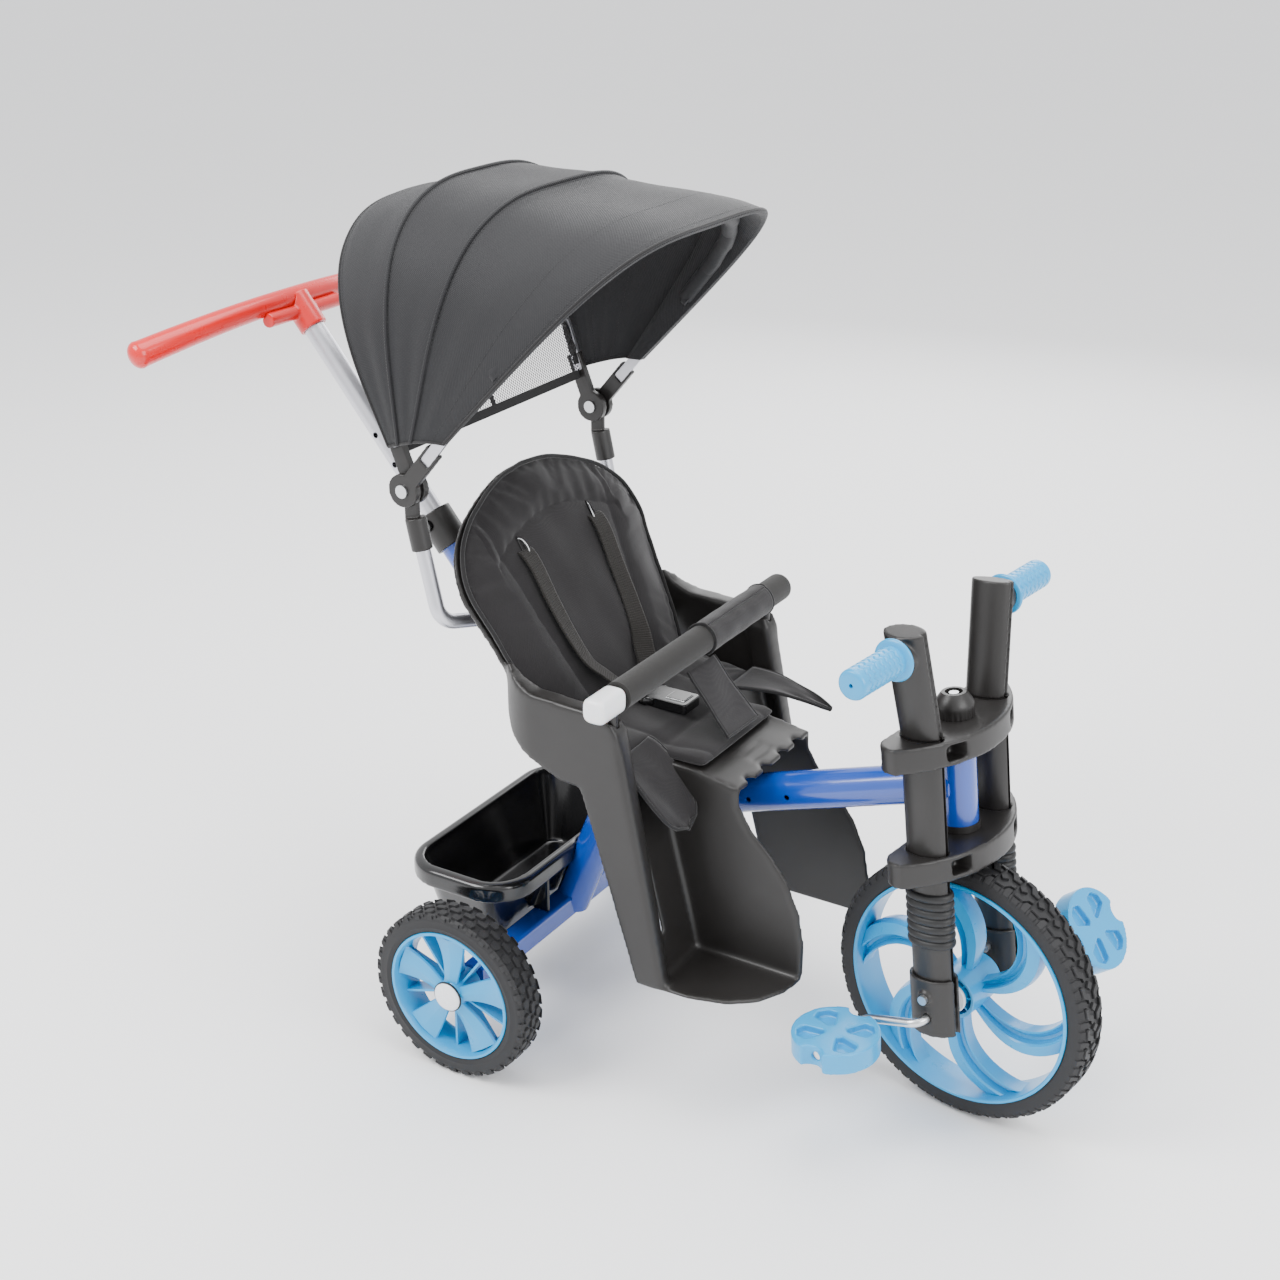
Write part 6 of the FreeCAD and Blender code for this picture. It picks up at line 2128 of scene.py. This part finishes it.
    def brim(self) -> bpy.types.Object:
        """Bound edges all round, and the rows of stitches that hold the brim's hem."""
        draft = Draft()
        draft.tube(self.arch_at(self.front, 0.0), 1.9 * MM, 8)
        draft.tube(self.arch_at(self.rear, 0.0), 1.9 * MM, 8)
        for arch in (0.0, 1.0):
            draft.tube([self.spot(self.rear + (self.front - self.rear) * n / 40, arch) for n in range(41)], 1.7 * MM, 8)
        obj = draft.piece("HoodBinding")
        obj.data.materials.append(self.shop.finishes.binding)
        rows = [self.arch_at(self.front - 1.1, 0.85 * MM, 160), self.arch_at(self.front - 8.5, 0.85 * MM, 160),
                self.arch_at(self.rear + 1.3, 0.85 * MM, 160)]
        for rib in self.ribs:
            rows.append(self.arch_at(rib + 0.9, 1.0 * MM, 160))
        seam = stitches("HoodStitches", rows, 3.0 * MM, 1.6 * MM, 0.33 * MM, self.shop.finishes.thread)
        whole = merge([obj, seam], "HoodBinding")
        self.shop.fit(whole, None, "hood_fabric", own=True)
        return whole

    def cloth_map(self, obj: bpy.types.Object) -> None:
        """A plain map in metres for a trim, from its own place."""
        layer = obj.data.uv_layers.new(name="cloth")
        for loop in obj.data.loops:
            point = obj.data.vertices[loop.vertex_index].co
            layer.data[loop.index].uv = (point.y + point.z, point.x)

    def window(self) -> None:
        """The net that closes the back, with its hem and centre seam."""
        degrees = self.bows[0]
        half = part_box("mesh_window")[1].y - 1 * MM
        crown = 280 * MM
        foot = 40 * MM
        rows = []
        steps = 44
        for number in range(steps + 1):
            share = number / steps
            row = []
            for place in range(49):
                across = place / 48 * 2 - 1
                height = foot + (crown - foot) * share
                width = half * max(0.0, 1 - (max(0.0, height - 100 * MM) / (crown - 100 * MM)) ** 2.45) ** (1 / 2.45)
                width = max(width, 22 * MM)
                y = across * width
                bulge = 4 * MM * (1 - across ** 2) * math.sin(math.pi * share)
                lean = math.radians(degrees)
                point = self.hub + Vector((height * math.sin(lean), y, height * math.cos(lean)))
                point -= Vector((math.cos(lean), 0, -math.sin(lean))) * bulge
                row.append(point)
            rows.append(row)
        cloth = ClothSheet(rows)
        obj = cloth.piece("WindowNet", 0.0)
        self.shop.fit(obj, "hood_rear", "mesh_fabric", "mesh_window")
        draft = Draft()
        border = [row[0] for row in reversed(rows)] + rows[0][1:-1] + [row[-1] for row in rows]
        draft.loft(sections(border, lambda _: ((-5 * MM, -0.7 * MM), (5 * MM, -0.7 * MM), (5 * MM, 0.7 * MM),
                                               (-5 * MM, 0.7 * MM)),
                            side=Vector((math.sin(math.radians(degrees)), 0, math.cos(math.radians(degrees))))))
        seam = [row[24] for row in rows]
        draft.loft(sections(seam, lambda _: ((-3 * MM, -0.9 * MM), (3 * MM, -0.9 * MM), (3 * MM, 0.9 * MM),
                                             (-3 * MM, 0.9 * MM)), side=ACROSS))
        hem = draft.piece("WindowHem")
        hem.data.materials.append(self.shop.finishes.binding)
        self.shop.fit(hem, "hood_rear", "mesh_fabric", own=True)
        declare(obj, cloth)


# ------------------------------------------------------------------ basket and studio
@dataclass
class Basket:
    """The glossy rear basket."""

    shop: Shop

    def build(self) -> None:
        """Round the moulding's rim and corners."""
        obj = moulded("BasketMoulding", [self.shop.nodes["basket"]], 2.0 * MM, 9, 0.45)
        self.shop.fit(obj, "frame", "black_gloss", "basket")


@dataclass
class Studio:
    """Pale floor, soft lights and the camera."""

    shop: Shop
    place: tuple[float, float, float] = (0.9997, -1.6703, 1.3007)
    azimuth: float = 31.44
    elevation: float = 23.37
    lens: float = 54.81

    def build(self) -> None:
        """Set everything up."""
        self.floor()
        self.world()
        self.softbox("KeyLight", (-1.3, -1.7, 2.6), 1.5, 95.0)
        self.softbox("FillLight", (2.4, -0.6, 1.7), 1.6, 48.0)
        self.softbox("TopLight", (0.2, 0.4, 3.0), 2.0, 60.0)
        self.softbox("BackLight", (-0.6, 2.6, 1.5), 1.6, 30.0)
        self.camera()

    def floor(self) -> None:
        """A wide pale floor."""
        reach = 70.0
        obj = Draft().loft([[Vector((-reach, -reach, -0.0006)), Vector((reach, -reach, -0.0006))],
                            [Vector((-reach, reach, -0.0006)), Vector((reach, reach, -0.0006))]],
                           closed=False, caps=False).piece("StudioFloor", smooth=False, recalculate=False)
        tree = Tree("PaleFloor")
        cloud = tree.noise(1.3, 2.0)
        tree.set(Base_Color=tree.blend(cloud, (0.93, 0.93, 0.935), (0.95, 0.95, 0.955)), Roughness=0.7)
        obj.data.materials.append(tree.material)
        obj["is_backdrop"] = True

    def world(self) -> None:
        """A soft white surround."""
        world = bpy.data.worlds.new("Surround")
        world.use_nodes = True
        world.node_tree.nodes["Background"].inputs["Color"].default_value = (0.98, 0.985, 1.0, 1.0)
        world.node_tree.nodes["Background"].inputs["Strength"].default_value = 1.45
        bpy.context.scene.world = world

    def softbox(self, name: str, place: tuple[float, float, float], size: float, power: float) -> None:
        """A square soft light that faces the tricycle."""
        data = bpy.data.lights.new(name, "AREA")
        data.size = size
        data.energy = power
        obj = bpy.data.objects.new(name, data)
        bpy.context.scene.collection.objects.link(obj)
        obj.location = place
        obj.rotation_euler = (Vector(place) - Vector((0, 0, 0.45))).to_track_quat("Z", "Y").to_euler()

    def camera(self) -> None:
        """The camera, looking down on the right front of the tricycle."""
        data = bpy.data.cameras.new("Camera")
        data.lens = self.lens
        data.sensor_width = 36.0
        obj = bpy.data.objects.new("Camera", data)
        bpy.context.scene.collection.objects.link(obj)
        turn = math.radians(self.azimuth)
        tilt = math.radians(self.elevation)
        back = Vector((math.sin(turn) * math.cos(tilt), -math.cos(turn) * math.cos(tilt), math.sin(tilt)))
        obj.location = self.place
        obj.rotation_euler = back.to_track_quat("Z", "Y").to_euler()
        bpy.context.scene.camera = obj


def main() -> None:
    """Build every sub-assembly in order."""
    logging.basicConfig(level=logging.INFO, format="%(message)s")
    shop = Shop()
    Studio(shop).build()
    FrameTubes(shop).build()
    PushHandle(shop).build()
    for side in ("left", "right"):
        RearWheel(shop, side).build()
    FrontWheel(shop).build()
    Pedals(shop).build()
    Fork(shop).build()
    Basket(shop).build()
    seat = Seat(shop)
    seat.build()
    Harness(shop, seat).build()
    SafetyBar(shop, seat).build()
    Hood(shop).build()
    log.info("%d pieces", shop.count)
    sizes = {"cad": [list(corner) for corner in shop.cad_box], "visual": [list(corner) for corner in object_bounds()]}


if __name__ == "__main__":
    main()
